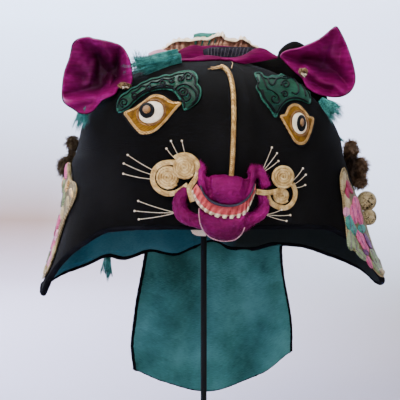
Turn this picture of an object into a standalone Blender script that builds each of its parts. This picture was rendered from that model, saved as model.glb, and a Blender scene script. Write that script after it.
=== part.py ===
"""A child's tiger hat on a plain rod stand.

The hat faces -Y, with +X on the picture's right and +Z up. The origin is the
middle of the base plate's underside, on the rod's axis. All sizes below are in
millimetres, and make_solid turns them into metres.

The crown is one surface. A place on it has a bearing, in degrees round the hat
from its front seam (positive towards +X), and a height above the table. A piece
sewn on the crown lies at a lift, its distance out from that surface.
"""

import math
from collections import namedtuple

import bmesh
import bpy
from mathutils import Vector

METRES = 0.001

# Clear space between a piece and what carries it
SEAT = 0.6

# The crown: a dome above the shoulder line, and a skirt that runs to the hem
MIDDLE_X = 5.0
HALF_WIDTH = 102.0
FRONT_DEPTH = 96.0
BACK_DEPTH = 90.0
FRONT_SQUARENESS = 1.45
BACK_SQUARENESS = 2.15
FRONT_SPAN = 70.0
SEAM_ROUNDING = 7.0
SHOULDER_HEIGHT = 235.0
DOME_HEIGHT = 73.0
DOME_SQUARENESS = 2.35
RIGHT_DOME_SLACK = 0.55
SKIRT_FLARE = 1.15
SIDE_FLARE = 0.32
CROWN_WALL = 1.6
LINING_GAP = 0.4
LINING_WALL = 1.0
BINDING_DROP = 3.0
BINDING_PROUD = 0.6
BINDING_GAP = 0.6
COLUMN_STEP = 10.0
TOP_RISE = 0.97
BEARING_STEP = 1.5
RISE_STEP = 0.02
SHARP_ANGLE = math.radians(40.0)

Hem = namedtuple("Hem", "bearing reach height")
HEM = [
    Hem(-180, 90, 157.0), Hem(-169, 90, 151.0), Hem(-155, 92, 155.0),
    Hem(-140, 97, 149.5), Hem(-131, 101, 152.5), Hem(-119, 112, 145.0),
    Hem(-108, 125, 139.0), Hem(-97, 131, 133.0), Hem(-89, 131, 128.0),
    Hem(-80, 126, 143.0), Hem(-70, 114, 163.0), Hem(-57, 97, 177.0),
    Hem(-30, 85, 179.0), Hem(0, 82, 179.0), Hem(30, 85, 179.0),
    Hem(55, 95, 178.0), Hem(68, 113, 166.0), Hem(78, 126, 150.0),
    Hem(88, 140, 134.0), Hem(95, 144, 131.5), Hem(104, 140, 141.0),
    Hem(114, 121, 153.0), Hem(124, 106, 160.0), Hem(135, 98, 161.0),
    Hem(148, 92, 156.0), Hem(158, 90, 156.5), Hem(169, 90, 162.5),
]
CROWN_RISES = [1.0, 0.86, 0.72, 0.58, 0.44, 0.3, 0.15, 0.0, -0.24, -0.48, -0.72]
LINING_RISES = [1.0, 0.86, 0.58, 0.3, 0.0, -0.24, -0.48, -0.72]

# The neck flap hangs from the back hem between these bearings
FLAP_START = -153.0
FLAP_END = -228.0
FLAP_COLUMNS = 11
FLAP_WALL = 1.3
FLAP_LINING_WALL = 0.8
FLAP_LAYER_GAP = 0.4
FLAP_BINDING = 1.2
FLAP_BINDING_GAP = 0.4
FLAP_RIPPLE = 2.2
FLAP_RIPPLES = 3.0
FlapRow = namedtuple("FlapRow", "drop left right back")
FLAP_ROWS = [
    FlapRow(0.00, -38, 76, 0), FlapRow(0.20, -40, 81, 84), FlapRow(0.45, -44, 86, 90),
    FlapRow(0.70, -47, 90, 93), FlapRow(0.88, -48, 92, 94), FlapRow(1.00, -36, 86, 94),
]
FLAP_TOP_Y = 72.0
FLAP_SIDE_SHARE = 0.6
FLAP_LOOSENING = 3.0
# Height of the flap's bottom edge at even steps from left to right
FlapEdge = namedtuple("FlapEdge", "height")
FLAP_BOTTOM = [
    FlapEdge(53), FlapEdge(43), FlapEdge(34.5), FlapEdge(36.5), FlapEdge(48.5), FlapEdge(65),
]

# Ears: a cup whose rim is given by angle and reach in the ear's own plane
# Where it is sewn down, its rim is drawn onto the crown by the last column's share
Rim = namedtuple("Rim", "angle reach forward sewn")
LEFT_RIM = [
    Rim(-174, 26, 2, 0), Rim(-150, 29, 5, 0), Rim(-128, 29, 7, 0), Rim(-104, 27, 7, 0),
    Rim(-77, 16, 6, 0.4), Rim(-40, 20, 3, 1), Rim(-7, 25, 0, 1), Rim(20, 25, 0, 0.2),
    Rim(50, 26, 0, 0), Rim(80, 26, 0, 0), Rim(104, 29, 0, 0), Rim(125, 31, 0, 0),
    Rim(150, 24, 0, 0),
]
RIGHT_RIM = [
    Rim(-174, 20, 0, 0.3), Rim(-149, 17, 2, 1), Rim(-120, 20, 4, 1), Rim(-92, 20, 6, 0.4),
    Rim(-70, 24, 5, 0), Rim(-48, 27, 4, 0), Rim(-24, 26, 2, 0), Rim(10, 22, 0, 0),
    Rim(45, 25, 0, 0), Rim(70, 33, 0, 0), Rim(92, 23, 0, 0), Rim(129, 22, 0, 0),
    Rim(165, 31, 0, 0),
]
EarPlace = namedtuple("EarPlace", "side rim centre turn depth spread")
EARS = [
    EarPlace("left", LEFT_RIM, (-85, -40, 291), -26, 17, 1.08),
    EarPlace("right", RIGHT_RIM, (86, -34, 301), 6, 15, 1.0),
]
EAR_RINGS = [1.0, 0.72, 0.4]
EAR_WALL = 1.2
EAR_LINING_WALL = 1.0
EAR_LIFT = 0.8

# Brows: a row for each section, from the ear to the seam or back
Across = namedtuple("Across", "top_bearing top_height low_bearing low_height")
LEFT_BROW = [
    Across(-54.0, 268, -52.0, 263.5), Across(-53.8, 276, -49.0, 265.5),
    Across(-50.5, 282, -46.7, 270.5), Across(-45.5, 285, -43.0, 275.5),
    Across(-38.5, 287.5, -38.5, 278.5), Across(-31.5, 290, -34.0, 278),
    Across(-25.0, 291, -29.0, 274.8), Across(-19.0, 290, -25.5, 271.2),
    Across(-16.0, 284.5, -22.4, 269.6), Across(-15.0, 278.5, -17.0, 271.5),
]
RIGHT_BROW = [
    Across(16.9, 268.3, 21.0, 260.0), Across(16.7, 278.8, 24.0, 262.4),
    Across(19.0, 287, 27.5, 267.5), Across(23.5, 290.5, 32.0, 271.5),
    Across(29.0, 291, 38.5, 273.0), Across(36.0, 290.5, 43.0, 273.0),
    Across(44.0, 289, 48.0, 272.5), Across(50.5, 286, 51.5, 275.5),
    Across(54.0, 282, 53.6, 278.5),
]
BROW_THICKNESS = 2.0

# Eyes: the gold field, then a white disc, a black ring and a bead on it
LEFT_EYE = [
    Across(-49.6, 262.2, -48.2, 259.6), Across(-45.6, 264.6, -45.3, 254.4),
    Across(-42.0, 268.7, -42.4, 249.6), Across(-38.8, 272.8, -39.6, 246.4),
    Across(-35.7, 273.9, -36.0, 246.6), Across(-32.4, 272.8, -32.4, 250.2),
    Across(-29.2, 270.0, -29.0, 256.2), Across(-26.2, 268.0, -26.0, 262.2),
    Across(-23.4, 267.8, -24.0, 265.6),
]
RIGHT_EYE = [
    Across(24.8, 260.2, 25.2, 257.2), Across(27.8, 261.6, 27.0, 250.6),
    Across(31.3, 265.8, 29.8, 244.4), Across(34.2, 268.8, 32.6, 240.2),
    Across(37.2, 269.2, 35.8, 240.6), Across(39.8, 265.8, 38.4, 245.2),
    Across(42.0, 261.0, 41.2, 251.8), Across(44.4, 259.6, 43.4, 256.6),
]
EYE_THICKNESS = 1.8
Eye = namedtuple("Eye", "side field white_at white_half iris_at iris_half bead")
EYES = [
    Eye("left", LEFT_EYE, (-36.4, 261.2), (9.2, 7.8), (-38.2, 262.4), (5.8, 5.8), 3.0),
    Eye("right", RIGHT_EYE, (34.6, 255.4), (7.2, 8.6), (35.8, 255.4), (4.6, 5.9), 2.4),
]
EYE_SIDES = 14
WHITE_LIFT = (0.6, 1.6)
IRIS_LIFT = (2.3, 3.1)
BEAD_LIFT = (3.5, 5.0)
DISC_FOOT = 0.92
DISC_FACE = 0.82
DISC_WAIST = 0.45

# Seam cord and the mouth
SEAM_CORD_RADIUS = 1.6
SEAM_CORD_END = 0.5
SeamPoint = namedtuple("SeamPoint", "bearing height")
SEAM_CORD = [
    SeamPoint(-4.0, 299), SeamPoint(0.4, 293), SeamPoint(1.9, 286), SeamPoint(1.6, 279),
    SeamPoint(1.3, 272), SeamPoint(0.9, 264), SeamPoint(0.5, 256), SeamPoint(0.2, 248),
    SeamPoint(0.0, 240), SeamPoint(-0.2, 231), SeamPoint(-0.6, 220),
]
Roll = namedtuple("Roll", "bearing height radius")
LEFT_MUZZLE = [
    Roll(-11.4, 222.5, 3.0), Roll(-12.6, 219.0, 4.4), Roll(-16.4, 211.0, 5.2),
    Roll(-20.2, 204, 6.2), Roll(-22.2, 197, 6.8), Roll(-21.2, 190.5, 6.4),
    Roll(-18.6, 187, 5.0), Roll(-16.8, 185.4, 2.8),
]
RIGHT_MUZZLE = [
    Roll(8.2, 222.5, 3.0), Roll(9.6, 219.0, 4.6), Roll(12.2, 212, 5.2),
    Roll(13.2, 204, 5.3), Roll(13.8, 196, 5.5), Roll(13.0, 189.5, 5.2),
    Roll(11.6, 186, 4.2), Roll(10.6, 184.4, 2.6),
]
ROLL_SIDES = 8
MOUTH_MIDDLE = -1.8
MOUTH_HALF = 10.4
MOUTH_LOW = 196.0
MOUTH_CURL = 11.5
LIP_WIDTH = 4.0
LIP_LIFT = (2.4, 11.0)
LIP_BINDING_RADIUS = 1.0
LIP_BINDING_LIFT = 8.6
LIP_BINDING_GAP = 0.4
GUM_DROP = 3.2
GUM_DEPTH = 6.0
GUM_SPREAD = 0.06
GUM_PLEATS = 13
GUM_WALL = 1.1
GUM_FOLD = 1.5
GUM_LIFT = 6.4
MOUTH_GROUND_LIFT = (1.0, 1.9)
NOSE = [
    Across(-8.0, 213.0, -8.0, 206.6), Across(-6.2, 216.4, -6.2, 203.6),
    Across(-3.6, 217.4, -3.6, 202.0), Across(-1.0, 217.4, -1.0, 201.9),
    Across(1.6, 216.8, 1.6, 203.3), Across(4.0, 213.0, 4.0, 206.4),
]
NOSE_LIFT = (2.4, 14.0)
MOUTH_GROUND = [
    Across(-16.0, 206.5, -16.0, 199.0), Across(-12.6, 208.5, -12.6, 193.0),
    Across(-8.0, 208.5, -8.0, 188.0), Across(-4.0, 208.5, -4.0, 186.0),
    Across(0.0, 208.5, 0.0, 186.0), Across(4.0, 208.5, 4.0, 188.0),
    Across(7.4, 208.5, 7.4, 193.0), Across(9.4, 206.5, 9.4, 199.0),
]
JAW = [
    Across(-13.6, 194.6, -15.0, 192.2), Across(-11.6, 192.4, -13.2, 185.0),
    Across(-8.8, 187.4, -11.0, 179.0), Across(-5.4, 183.8, -7.2, 174.8),
    Across(-1.8, 182.6, -1.8, 173.0), Across(1.8, 183.8, 3.4, 174.8),
    Across(4.6, 187.4, 6.6, 179.0), Across(6.6, 192.4, 8.2, 185.0),
    Across(7.8, 194.6, 9.0, 192.2),
]
JAW_LIFT = (2.4, 12.0)
JAW_PIPING_RADIUS = 0.9
JAW_PIPING_LIFT = 12.9
JAW_PIPING_INSET = 0.25

# Cheek coils of braid: discs that overlap, so one lies over the other
Coil = namedtuple("Coil", "name bearing height radius under")
COILS = [
    Coil("cheek_coil_left_low", -28.4, 217.4, 7.9, 0.6),
    Coil("cheek_coil_left_high", -21.4, 223.4, 8.6, 3.6),
    Coil("cheek_coil_right_low", 24.4, 204.0, 5.8, 0.6),
    Coil("cheek_coil_right_high", 23.8, 217.6, 7.8, 4.5),
]
COIL_THICKNESS = 2.0
COIL_SIDES = 16
COIL_RING = (24.4, 204.0, 10.2, 1.6)

# Floral bands on the outer edge of each ear flap
Band = namedtuple("Band", "height front back")
LEFT_BAND = [
    Band(222, -78, -90), Band(208, -75, -95), Band(194, -76, -97),
    Band(180, -76.5, -98), Band(166, -78, -98), Band(154, -82, -98),
    Band(146, -86, -96),
]
RIGHT_BAND = [
    Band(220, 64, 90), Band(206, 63, 96), Band(192, 64, 98), Band(178, 66, 99),
    Band(164, 71, 99), Band(153, 79, 99), Band(146, 84, 98),
]
BAND_STEPS = 12
BAND_SCALLOP = 1.3
BAND_THICKNESS = 1.2
BAND_ACROSS = 5
BAND_LIFT = 1.0

# Soft trim: balls, tufts of floss and the top ornament
Ball = namedtuple("Ball", "name bearing height radius lift")
BALLS = [
    Ball("pompom_left_high", -88, 240.5, 5.2, 0.1),
    Ball("pompom_left_low", -90, 227.0, 6.2, 0.3),
    Ball("fur_ball_high", 82, 242.0, 7.4, -0.6),
    Ball("fur_ball_middle", 84, 227.0, 7.2, -0.6),
    Ball("fur_ball_low", 84, 215.0, 4.8, 1.9),
    Ball("silk_ball_high", 83, 200.5, 8.2, 1.9),
    Ball("silk_ball_low", 84, 185.5, 5.8, 1.9),
]
BALL_LUMP = 0.06
Tuft = namedtuple("Tuft", "name root tip radius locks")
TUFTS = [
    Tuft("mane_left", (-93.4, -29, 270), (-98.4, -30, 250), 6.5, 6),
    Tuft("mane_right", (80.2, -49.0, 275.0), (93.2, -52.5, 263.0), 6.0, 7),
    Tuft("top_tuft", (-27, -39, 308.5), (-60, -45, 297.5), 6.5, 7),
    Tuft("hem_tassel", (-70.5, 65.5, 151.6), (-72, 67, 134), 5.0, 6),
]
TuftRing = namedtuple("TuftRing", "place width")
TUFT_RINGS = [TuftRing(0.0, 0.35), TuftRing(0.12, 0.75), TuftRing(0.45, 1.0), TuftRing(0.8, 0.95)]
TUFT_LEAN = Vector((0.3, 1.0, 0.2))
TUFT_VALLEY = 0.62
LOCK_POINT = 0.2
LOCK_VALLEY = 0.06
LOCK_GATHER = 0.35
TUFT_CORE = 0.84
Knot = namedtuple("Knot", "name centre radius")
KNOTS = [
    Knot("ear_knot_left", (-63.0, -60.5, 283.0), 4.4),
    Knot("ear_knot_right", (69.1, -40.3, 295.9), 4.2),
]

ROSETTE_CENTRE_X = -1.0
ROSETTE_Y = -8.0
ROSETTE_HALF = 43.0
ROSETTE_HEIGHT = 20.0
ROSETTE_END_HEIGHT = 7.0
ROSETTE_PLEATS = 15
ROSETTE_FOLD = 1.8
ROSETTE_WALL = 1.1
ROSETTE_ARCH = 1.6
ROSETTE_FAN = 1.06
FOLD_AT_TOP = 1.5
FOLD_AT_FOOT = 0.6
TOP_FOOT = 0.8
Petal = namedtuple("Petal", "name left right front height lean")
PETALS = [
    Petal("petal_front", -24, 50, -35, 10, 6),
    Petal("petal_back", -18, 44, -20, 16, 6),
]
PETAL_LEVELS = (1.0, 0.66, 0.33, 0.0)
PETAL_COLUMNS = 9
PETAL_WALL = 1.4
PETAL_END = 0.25
PETAL_ROUNDNESS = 0.7
PETAL_BELLY = 2.0
LEAF_LEFT = -4.0
LEAF_RIGHT = 34.0
LEAF_Y = -27.0
LEAF_LEAN = 2.0
LEAF_LEVELS = (1.0, 0.5, 0.0)
LEAF_COLUMNS = 7
LEAF_END_HEIGHT = 3.0
LEAF_HEIGHT = 12.0
LEAF_WALL = 1.0

# The stand
ROD_RADIUS = 2.4
ROD_SIDES = 16
PAD_RADIUS = 26.0
PAD_THICKNESS = 5.0
PAD_SIDES = 24
PAD_GAP = 1.0
PAD_TAPER = 3.0
PAD_RIM_DROP = 0.6
PAD_RIM = 1.5
BASE_RADIUS = 65.0
BASE_THICKNESS = 8.0
BASE_SIDES = 48
BASE_BEVEL = 1.2
STAND_GAP = 0.3

Finish = namedtuple("Finish", "colour roughness metallic")
FINISHES = {
    "black_cloth": Finish((0.012, 0.011, 0.013), 0.85, 0.0),
    "lining_cloth": Finish((0.012, 0.09, 0.12), 0.8, 0.0),
    "magenta_satin": Finish((0.19, 0.008, 0.09), 0.45, 0.0),
    "green_satin": Finish((0.015, 0.11, 0.07), 0.5, 0.0),
    "gold_braid": Finish((0.46, 0.26, 0.08), 0.5, 0.0),
    "cream_braid": Finish((0.66, 0.52, 0.31), 0.6, 0.0),
    "white_cloth": Finish((0.78, 0.68, 0.5), 0.8, 0.0),
    "tan_bead": Finish((0.46, 0.25, 0.08), 0.4, 0.0),
    "coral_ribbon": Finish((0.66, 0.1, 0.1), 0.55, 0.0),
    "lilac_binding": Finish((0.12, 0.11, 0.16), 0.6, 0.0),
    "pink_piping": Finish((0.55, 0.25, 0.3), 0.6, 0.0),
    "floral_embroidery": Finish((0.4, 0.16, 0.16), 0.7, 0.0),
    "teal_floss": Finish((0.01, 0.2, 0.17), 0.8, 0.0),
    "brown_fur": Finish((0.14, 0.09, 0.05), 0.95, 0.0),
    "silk_mesh": Finish((0.5, 0.4, 0.26), 0.7, 0.0),
    "grey_embroidery": Finish((0.09, 0.09, 0.11), 0.7, 0.0),
    "black_steel": Finish((0.012, 0.012, 0.013), 0.4, 0.7),
}


def clear_scene():
    for thing in list(bpy.data.objects):
        bpy.data.objects.remove(thing, do_unlink=True)


def finish(name):
    """The Principled material of one finish, made once."""
    if name in bpy.data.materials:
        return bpy.data.materials[name]
    look = FINISHES[name]
    material = bpy.data.materials.new(name)
    material.use_nodes = True
    shader = material.node_tree.nodes["Principled BSDF"]
    shader.inputs["Base Color"].default_value = (*look.colour, 1.0)
    shader.inputs["Roughness"].default_value = look.roughness
    shader.inputs["Metallic"].default_value = look.metallic
    return material


# The crown's surface


def wrapped(bearing):
    return (bearing + 180.0) % 360.0 - 180.0


def hem_value(bearing, column):
    """A column of the hem table at a bearing, smooth and without overshoot."""
    bearing = wrapped(bearing)
    count = len(HEM)
    last = max(k for k in range(count) if HEM[k].bearing <= bearing)

    def row(index):
        turns, place = divmod(index, count)
        return HEM[place].bearing + 360.0 * turns, getattr(HEM[place], column)

    def slope(before, here, after):
        first = (here[1] - before[1]) / (here[0] - before[0])
        second = (after[1] - here[1]) / (after[0] - here[0])
        return 0.0 if first * second <= 0.0 else 2.0 * first * second / (first + second)

    before, start, end, after = (row(last + k) for k in (-1, 0, 1, 2))
    width = end[0] - start[0]
    t = (bearing - start[0]) / width
    leave = slope(before, start, end) * width
    arrive = slope(start, end, after) * width
    return (
        (2 * t**3 - 3 * t**2 + 1) * start[1] + (t**3 - 2 * t**2 + t) * leave
        + (3 * t**2 - 2 * t**3) * end[1] + (t**3 - t**2) * arrive
    )


def plan_reach(bearing):
    """Reach of the shoulder line: a prow in front that rounds to the back."""
    angle = math.radians(bearing)
    across = abs(math.sin(angle)) / HALF_WIDTH
    along = -math.cos(angle)
    along = abs(along) / (FRONT_DEPTH if along < 0 else BACK_DEPTH)
    turn = min(1.0, abs(wrapped(bearing)) / FRONT_SPAN)
    turn = turn * turn * (3.0 - 2.0 * turn)
    power = FRONT_SQUARENESS + (BACK_SQUARENESS - FRONT_SQUARENESS) * turn
    return (across**power + along**power) ** (-1.0 / power)


def shoulder_reach(bearing):
    samples = (bearing - SEAM_ROUNDING, bearing, bearing + SEAM_ROUNDING)
    return sum(plan_reach(sample) for sample in samples) / 3.0


def dome_power(bearing):
    rightness = max(0.0, math.sin(math.radians(bearing)))
    return DOME_SQUARENESS - RIGHT_DOME_SLACK * rightness**2


def crown_point(bearing, rise):
    """Outer surface: rise runs from 1 at the top, by 0 at the shoulder, to -1 at the hem."""
    reach = shoulder_reach(bearing)
    if rise >= 0.0:
        power = 2.0 / dome_power(bearing)
        lean = rise * math.pi / 2.0
        reach *= max(0.0, math.cos(lean)) ** power
        height = SHOULDER_HEIGHT + DOME_HEIGHT * math.sin(lean) ** power
    else:
        flare = SKIRT_FLARE - SIDE_FLARE * math.sin(math.radians(bearing))
        reach += (hem_value(bearing, "reach") - reach) * (-rise) ** flare
        height = SHOULDER_HEIGHT + (SHOULDER_HEIGHT - hem_value(bearing, "height")) * rise
    angle = math.radians(bearing)
    return Vector((MIDDLE_X + reach * math.sin(angle), -reach * math.cos(angle), height))


def rise_at(bearing, height):
    if height >= SHOULDER_HEIGHT:
        share = min(1.0, (height - SHOULDER_HEIGHT) / DOME_HEIGHT)
        return math.asin(share ** (dome_power(bearing) / 2.0)) / (math.pi / 2.0)
    return -(SHOULDER_HEIGHT - height) / (SHOULDER_HEIGHT - hem_value(bearing, "height"))


def crown_normal(bearing, rise):
    if rise > TOP_RISE:
        return Vector((0.0, 0.0, 1.0))
    left = crown_point(bearing - BEARING_STEP, rise)
    right = crown_point(bearing + BEARING_STEP, rise)
    low = crown_point(bearing, rise - RISE_STEP)
    high = crown_point(bearing, rise + RISE_STEP)
    return (right - left).cross(high - low).normalized()


def on_crown(bearing, height, lift=0.0):
    """A point at a lift above the crown."""
    rise = rise_at(bearing, height)
    return crown_point(bearing, rise) + crown_normal(bearing, rise) * lift


def crown_frame(bearing, height):
    """Origin, right, up and outward directions of the crown's tangent plane."""
    rise = rise_at(bearing, height)
    out = crown_normal(bearing, rise)
    right = Vector((0.0, 0.0, 1.0)).cross(out).normalized()
    return crown_point(bearing, rise), right, out.cross(right), out


def top_height(x, y):
    """Height of the crown's outer surface above a place near its top."""
    bearing = math.degrees(math.atan2(x - MIDDLE_X, -y))
    reach = math.hypot(x - MIDDLE_X, y) / shoulder_reach(bearing)
    power = dome_power(bearing)
    return SHOULDER_HEIGHT + DOME_HEIGHT * (1.0 - reach**power) ** (1.0 / power)


def clear_of_crown(point, lift, sewn=0.0):
    """The point, moved out from the dome's middle until it is at least lift clear.

    A share of sewn draws a point that lies further out back towards that lift.
    """
    heart = Vector((MIDDLE_X, 0.0, min(point.z, SHOULDER_HEIGHT)))
    ray = point - heart
    bearing = math.degrees(math.atan2(ray.x, -ray.y))
    power = dome_power(bearing)
    flat = math.hypot(ray.x, ray.y)
    if point.z >= SHOULDER_HEIGHT:
        share = (flat / shoulder_reach(bearing)) ** power
        share += (ray.z / DOME_HEIGHT) ** power
        surface = ray.length * share ** (-1.0 / power)
    else:
        skin = crown_point(bearing, rise_at(bearing, point.z))
        surface = math.hypot(skin.x - MIDDLE_X, skin.y)
    wanted = surface + lift
    length = max(ray.length, wanted)
    return heart + ray * (blend(length, wanted, sewn) / ray.length)


# Mesh builders


def make_solid(name, points, faces, look):
    """One closed body from points in millimetres, with its faces turned out."""
    shape = bmesh.new()
    corners = [shape.verts.new(Vector(point) * METRES) for point in points]
    for face in faces:
        shape.faces.new([corners[index] for index in face])
    bmesh.ops.recalc_face_normals(shape, faces=shape.faces[:])
    mesh = bpy.data.meshes.new(name)
    shape.to_mesh(mesh)
    shape.free()
    mesh.materials.append(finish(look))
    mesh.shade_smooth()
    mesh.set_sharp_from_angle(angle=SHARP_ANGLE)
    thing = bpy.data.objects.new(name, mesh)
    bpy.context.collection.objects.link(thing)
    return thing


def loft(name, sections, look, closed=False):
    """Closed outlines of equal count, joined in order and capped at the ends."""
    count = len(sections[0])
    points = [point for section in sections for point in section]
    faces = []
    stages = len(sections)
    for stage in range(stages if closed else stages - 1):
        here = stage * count
        there = (stage + 1) % stages * count
        for k in range(count):
            n = (k + 1) % count
            faces.append((here + k, here + n, there + n, there + k))
    if not closed:
        faces.append(tuple(range(count)))
        faces.append(tuple(range((stages - 1) * count, stages * count)))
    return make_solid(name, points, faces, look)


def walled(name, rows, near, far, look, wrap=False):
    """A wall between two offsets of a grid of (point, normal) rows.

    A first row of one entry is a pole.
    """
    points = []
    starts = []
    for offset in (far, near):
        starts.append([])
        for row in rows:
            starts[-1].append(len(points))
            points += [point + normal * offset for point, normal in row]
    faces = []
    for layer in starts:
        for row_index in range(len(rows) - 1):
            above = rows[row_index]
            below = rows[row_index + 1]
            count = len(below)
            for k in range(count if wrap else count - 1):
                n = (k + 1) % count
                low = (layer[row_index + 1] + n, layer[row_index + 1] + k)
                if len(above) == 1:
                    faces.append((layer[row_index], *low))
                else:
                    faces.append((layer[row_index] + k, layer[row_index] + n, *low))
    edges = [(len(rows) - 1, k, len(rows) - 1, k + 1) for k in range(len(rows[-1]) - 1)]
    if wrap:
        edges.append((len(rows) - 1, len(rows[-1]) - 1, len(rows) - 1, 0))
    if len(rows[0]) > 1:
        edges += [(0, k, 0, k + 1) for k in range(len(rows[0]) - 1)]
        if wrap:
            edges.append((0, len(rows[0]) - 1, 0, 0))
    if not wrap:
        for end in (0, -1):
            for row_index in range(len(rows) - 1):
                first = end % len(rows[row_index])
                second = end % len(rows[row_index + 1])
                edges.append((row_index, first, row_index + 1, second))
    for row_a, k_a, row_b, k_b in edges:
        outer = (starts[0][row_a] + k_a, starts[0][row_b] + k_b)
        inner = (starts[1][row_b] + k_b, starts[1][row_a] + k_a)
        faces.append((*outer, *inner))
    return make_solid(name, points, faces, look)


def with_normals(grid):
    """Pair each point of a grid of rows with the grid's own normal there."""
    rows = []
    for i, row in enumerate(grid):
        paired = []
        for j, point in enumerate(row):
            left, right = row[max(j - 1, 0)], row[min(j + 1, len(row) - 1)]
            above = grid[max(i - 1, 0)][min(j, len(grid[max(i - 1, 0)]) - 1)]
            below = grid[min(i + 1, len(grid) - 1)][j]
            paired.append((point, (right - left).cross(above - below).normalized()))
        rows.append(paired)
    return rows


def blend(first, second, share):
    return first + (second - first) * share


def sample(rows, share):
    """A row of a table at a share of its length, between its two nearest rows."""
    place = share * (len(rows) - 1)
    index = min(int(place), len(rows) - 2)
    return [blend(a, b, place - index) for a, b in zip(rows[index], rows[index + 1])]


def padded_strip(name, stations, under, over, look, across=3, edge=0.45):
    """A pad sewn on the crown: a row for each section, domed between its edges."""
    sections = []
    for row in stations:
        low = []
        high = []
        for k in range(across + 1):
            share = k / across
            bearing = blend(row.top_bearing, row.low_bearing, share)
            height = blend(row.top_height, row.low_height, share)
            swell = edge + (1.0 - edge) * math.sin(share * math.pi)
            low.append(on_crown(bearing, height, under))
            high.append(on_crown(bearing, height, under + (over - under) * swell))
        sections.append(low + high[::-1])
    return loft(name, sections, look)


def cord(name, route, radii, look, sides=6, closed=False):
    """A round cord along (point, outward) pairs."""
    sections = []
    count = len(route)
    for index, (point, out) in enumerate(route):
        if closed:
            before, after = route[index - 1][0], route[(index + 1) % count][0]
        else:
            before, after = route[max(index - 1, 0)][0], route[min(index + 1, count - 1)][0]
        along = (after - before).normalized()
        side = along.cross(out).normalized()
        up = side.cross(along)
        radius = radii[index]
        turn = [2.0 * math.pi * (k + 0.5) / sides for k in range(sides)]
        sections.append([
            point + side * (radius * math.cos(a)) + up * (radius * math.sin(a)) for a in turn
        ])
    return loft(name, sections, look, closed=closed)


def disc(name, bearing, height, half, under, over, look, sides=EYE_SIDES):
    """A flat-backed button on the crown's tangent plane, with a rounded front."""
    origin, right, up, out = crown_frame(bearing, height)
    rings = [(DISC_FOOT, under), (1.0, blend(under, over, DISC_WAIST)), (DISC_FACE, over)]
    sections = []
    for share, lift in rings:
        sections.append([
            origin + out * lift
            + right * (half[0] * share * math.cos(2.0 * math.pi * k / sides))
            + up * (half[1] * share * math.sin(2.0 * math.pi * k / sides))
            for k in range(sides)
        ])
    return loft(name, sections, look)


# The cloth shells


def crown_bearings():
    """Columns: each row of the hem table, with more between rows that lie far apart."""
    bearings = []
    for index, row in enumerate(HEM):
        following = HEM[(index + 1) % len(HEM)].bearing
        if following < row.bearing:
            following += 360.0
        steps = math.ceil((following - row.bearing) / COLUMN_STEP)
        bearings += [blend(row.bearing, following, k / steps) for k in range(steps)]
    return bearings


def shell_rows(rises):
    rows = []
    for rise in rises:
        if rise == 1.0:
            rows.append([(crown_point(0.0, 1.0), crown_normal(0.0, 1.0))])
        else:
            rows.append([(crown_point(b, rise), crown_normal(b, rise)) for b in crown_bearings()])
    rows.append([hem_edge(bearing) for bearing in crown_bearings()])
    return rows


def hem_edge(bearing):
    """Point and normal where the cloth ends inside the binding."""
    rise = rise_at(bearing, hem_value(bearing, "height") + BINDING_DROP)
    return crown_point(bearing, rise), crown_normal(bearing, rise)


def make_shells():
    walled("crown", shell_rows(CROWN_RISES), -CROWN_WALL, 0.0, "black_cloth", wrap=True)
    outside = -CROWN_WALL - LINING_GAP
    rows = shell_rows(LINING_RISES)
    walled("lining", rows, outside - LINING_WALL, outside, "lining_cloth", wrap=True)


def make_hem_binding():
    depth = CROWN_WALL + LINING_GAP + LINING_WALL
    sections = []
    for bearing in crown_bearings():
        edge, out = hem_edge(bearing)
        down = (crown_point(bearing, -1.0) - edge).normalized()
        top = edge + down * BINDING_GAP
        low = edge + down * BINDING_DROP
        sections.append([
            top + out * BINDING_PROUD, low + out * (BINDING_PROUD * 0.4),
            low - out * depth, top - out * (depth + BINDING_PROUD),
        ])
    loft("hem_binding", sections, "black_cloth", closed=True)


def flap_grid():
    """The neck flap's middle surface, row by row from the hem down."""
    depth = (CROWN_WALL + LINING_WALL) / 2.0
    grid = []
    for row in FLAP_ROWS:
        points = []
        for column in range(FLAP_COLUMNS):
            share = column / (FLAP_COLUMNS - 1)
            bearing = blend(FLAP_START, FLAP_END, share)
            edge = crown_point(bearing, -1.0) - crown_normal(bearing, -1.0) * depth
            edge.z -= SEAT + BINDING_GAP
            arc = math.sin(share * math.pi)
            wave = FLAP_RIPPLE * math.sin(FLAP_RIPPLES * 2.0 * math.pi * share + row.drop)
            belly = blend(FLAP_SIDE_SHARE, 1.0, arc)
            hanging = Vector((
                blend(row.left, row.right, share),
                blend(FLAP_TOP_Y, row.back, belly) + wave,
                blend(edge.z, sample(FLAP_BOTTOM, share)[0], row.drop),
            ))
            points.append(blend(edge, hanging, min(1.0, row.drop * FLAP_LOOSENING)))
        grid.append(points)
    return grid


def make_neck_flap():
    rows = with_normals(flap_grid())
    half_gap = FLAP_LAYER_GAP / 2.0
    walled("neck_flap", rows, -FLAP_WALL, -half_gap, "black_cloth")
    walled("neck_flap_lining", rows, half_gap, half_gap + FLAP_LINING_WALL, "lining_cloth")
    left = [row[0] for row in rows[1:]]
    right = [row[-1] for row in reversed(rows[1:])]
    route = left + rows[-1][1:-1] + right
    centre = sum((point for point, _ in route), Vector()) / len(route)
    outward = []
    for index, (point, out) in enumerate(route):
        before = route[max(index - 1, 0)][0]
        after = route[min(index + 1, len(route) - 1)][0]
        away = (after - before).normalized().cross(out)
        away = away if away.dot(point - centre) > 0 else -away
        outward.append((point + away * (FLAP_BINDING + FLAP_BINDING_GAP), out))
    cord("neck_flap_binding", outward, [FLAP_BINDING] * len(outward), "black_cloth", sides=5)


# Ears


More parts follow.
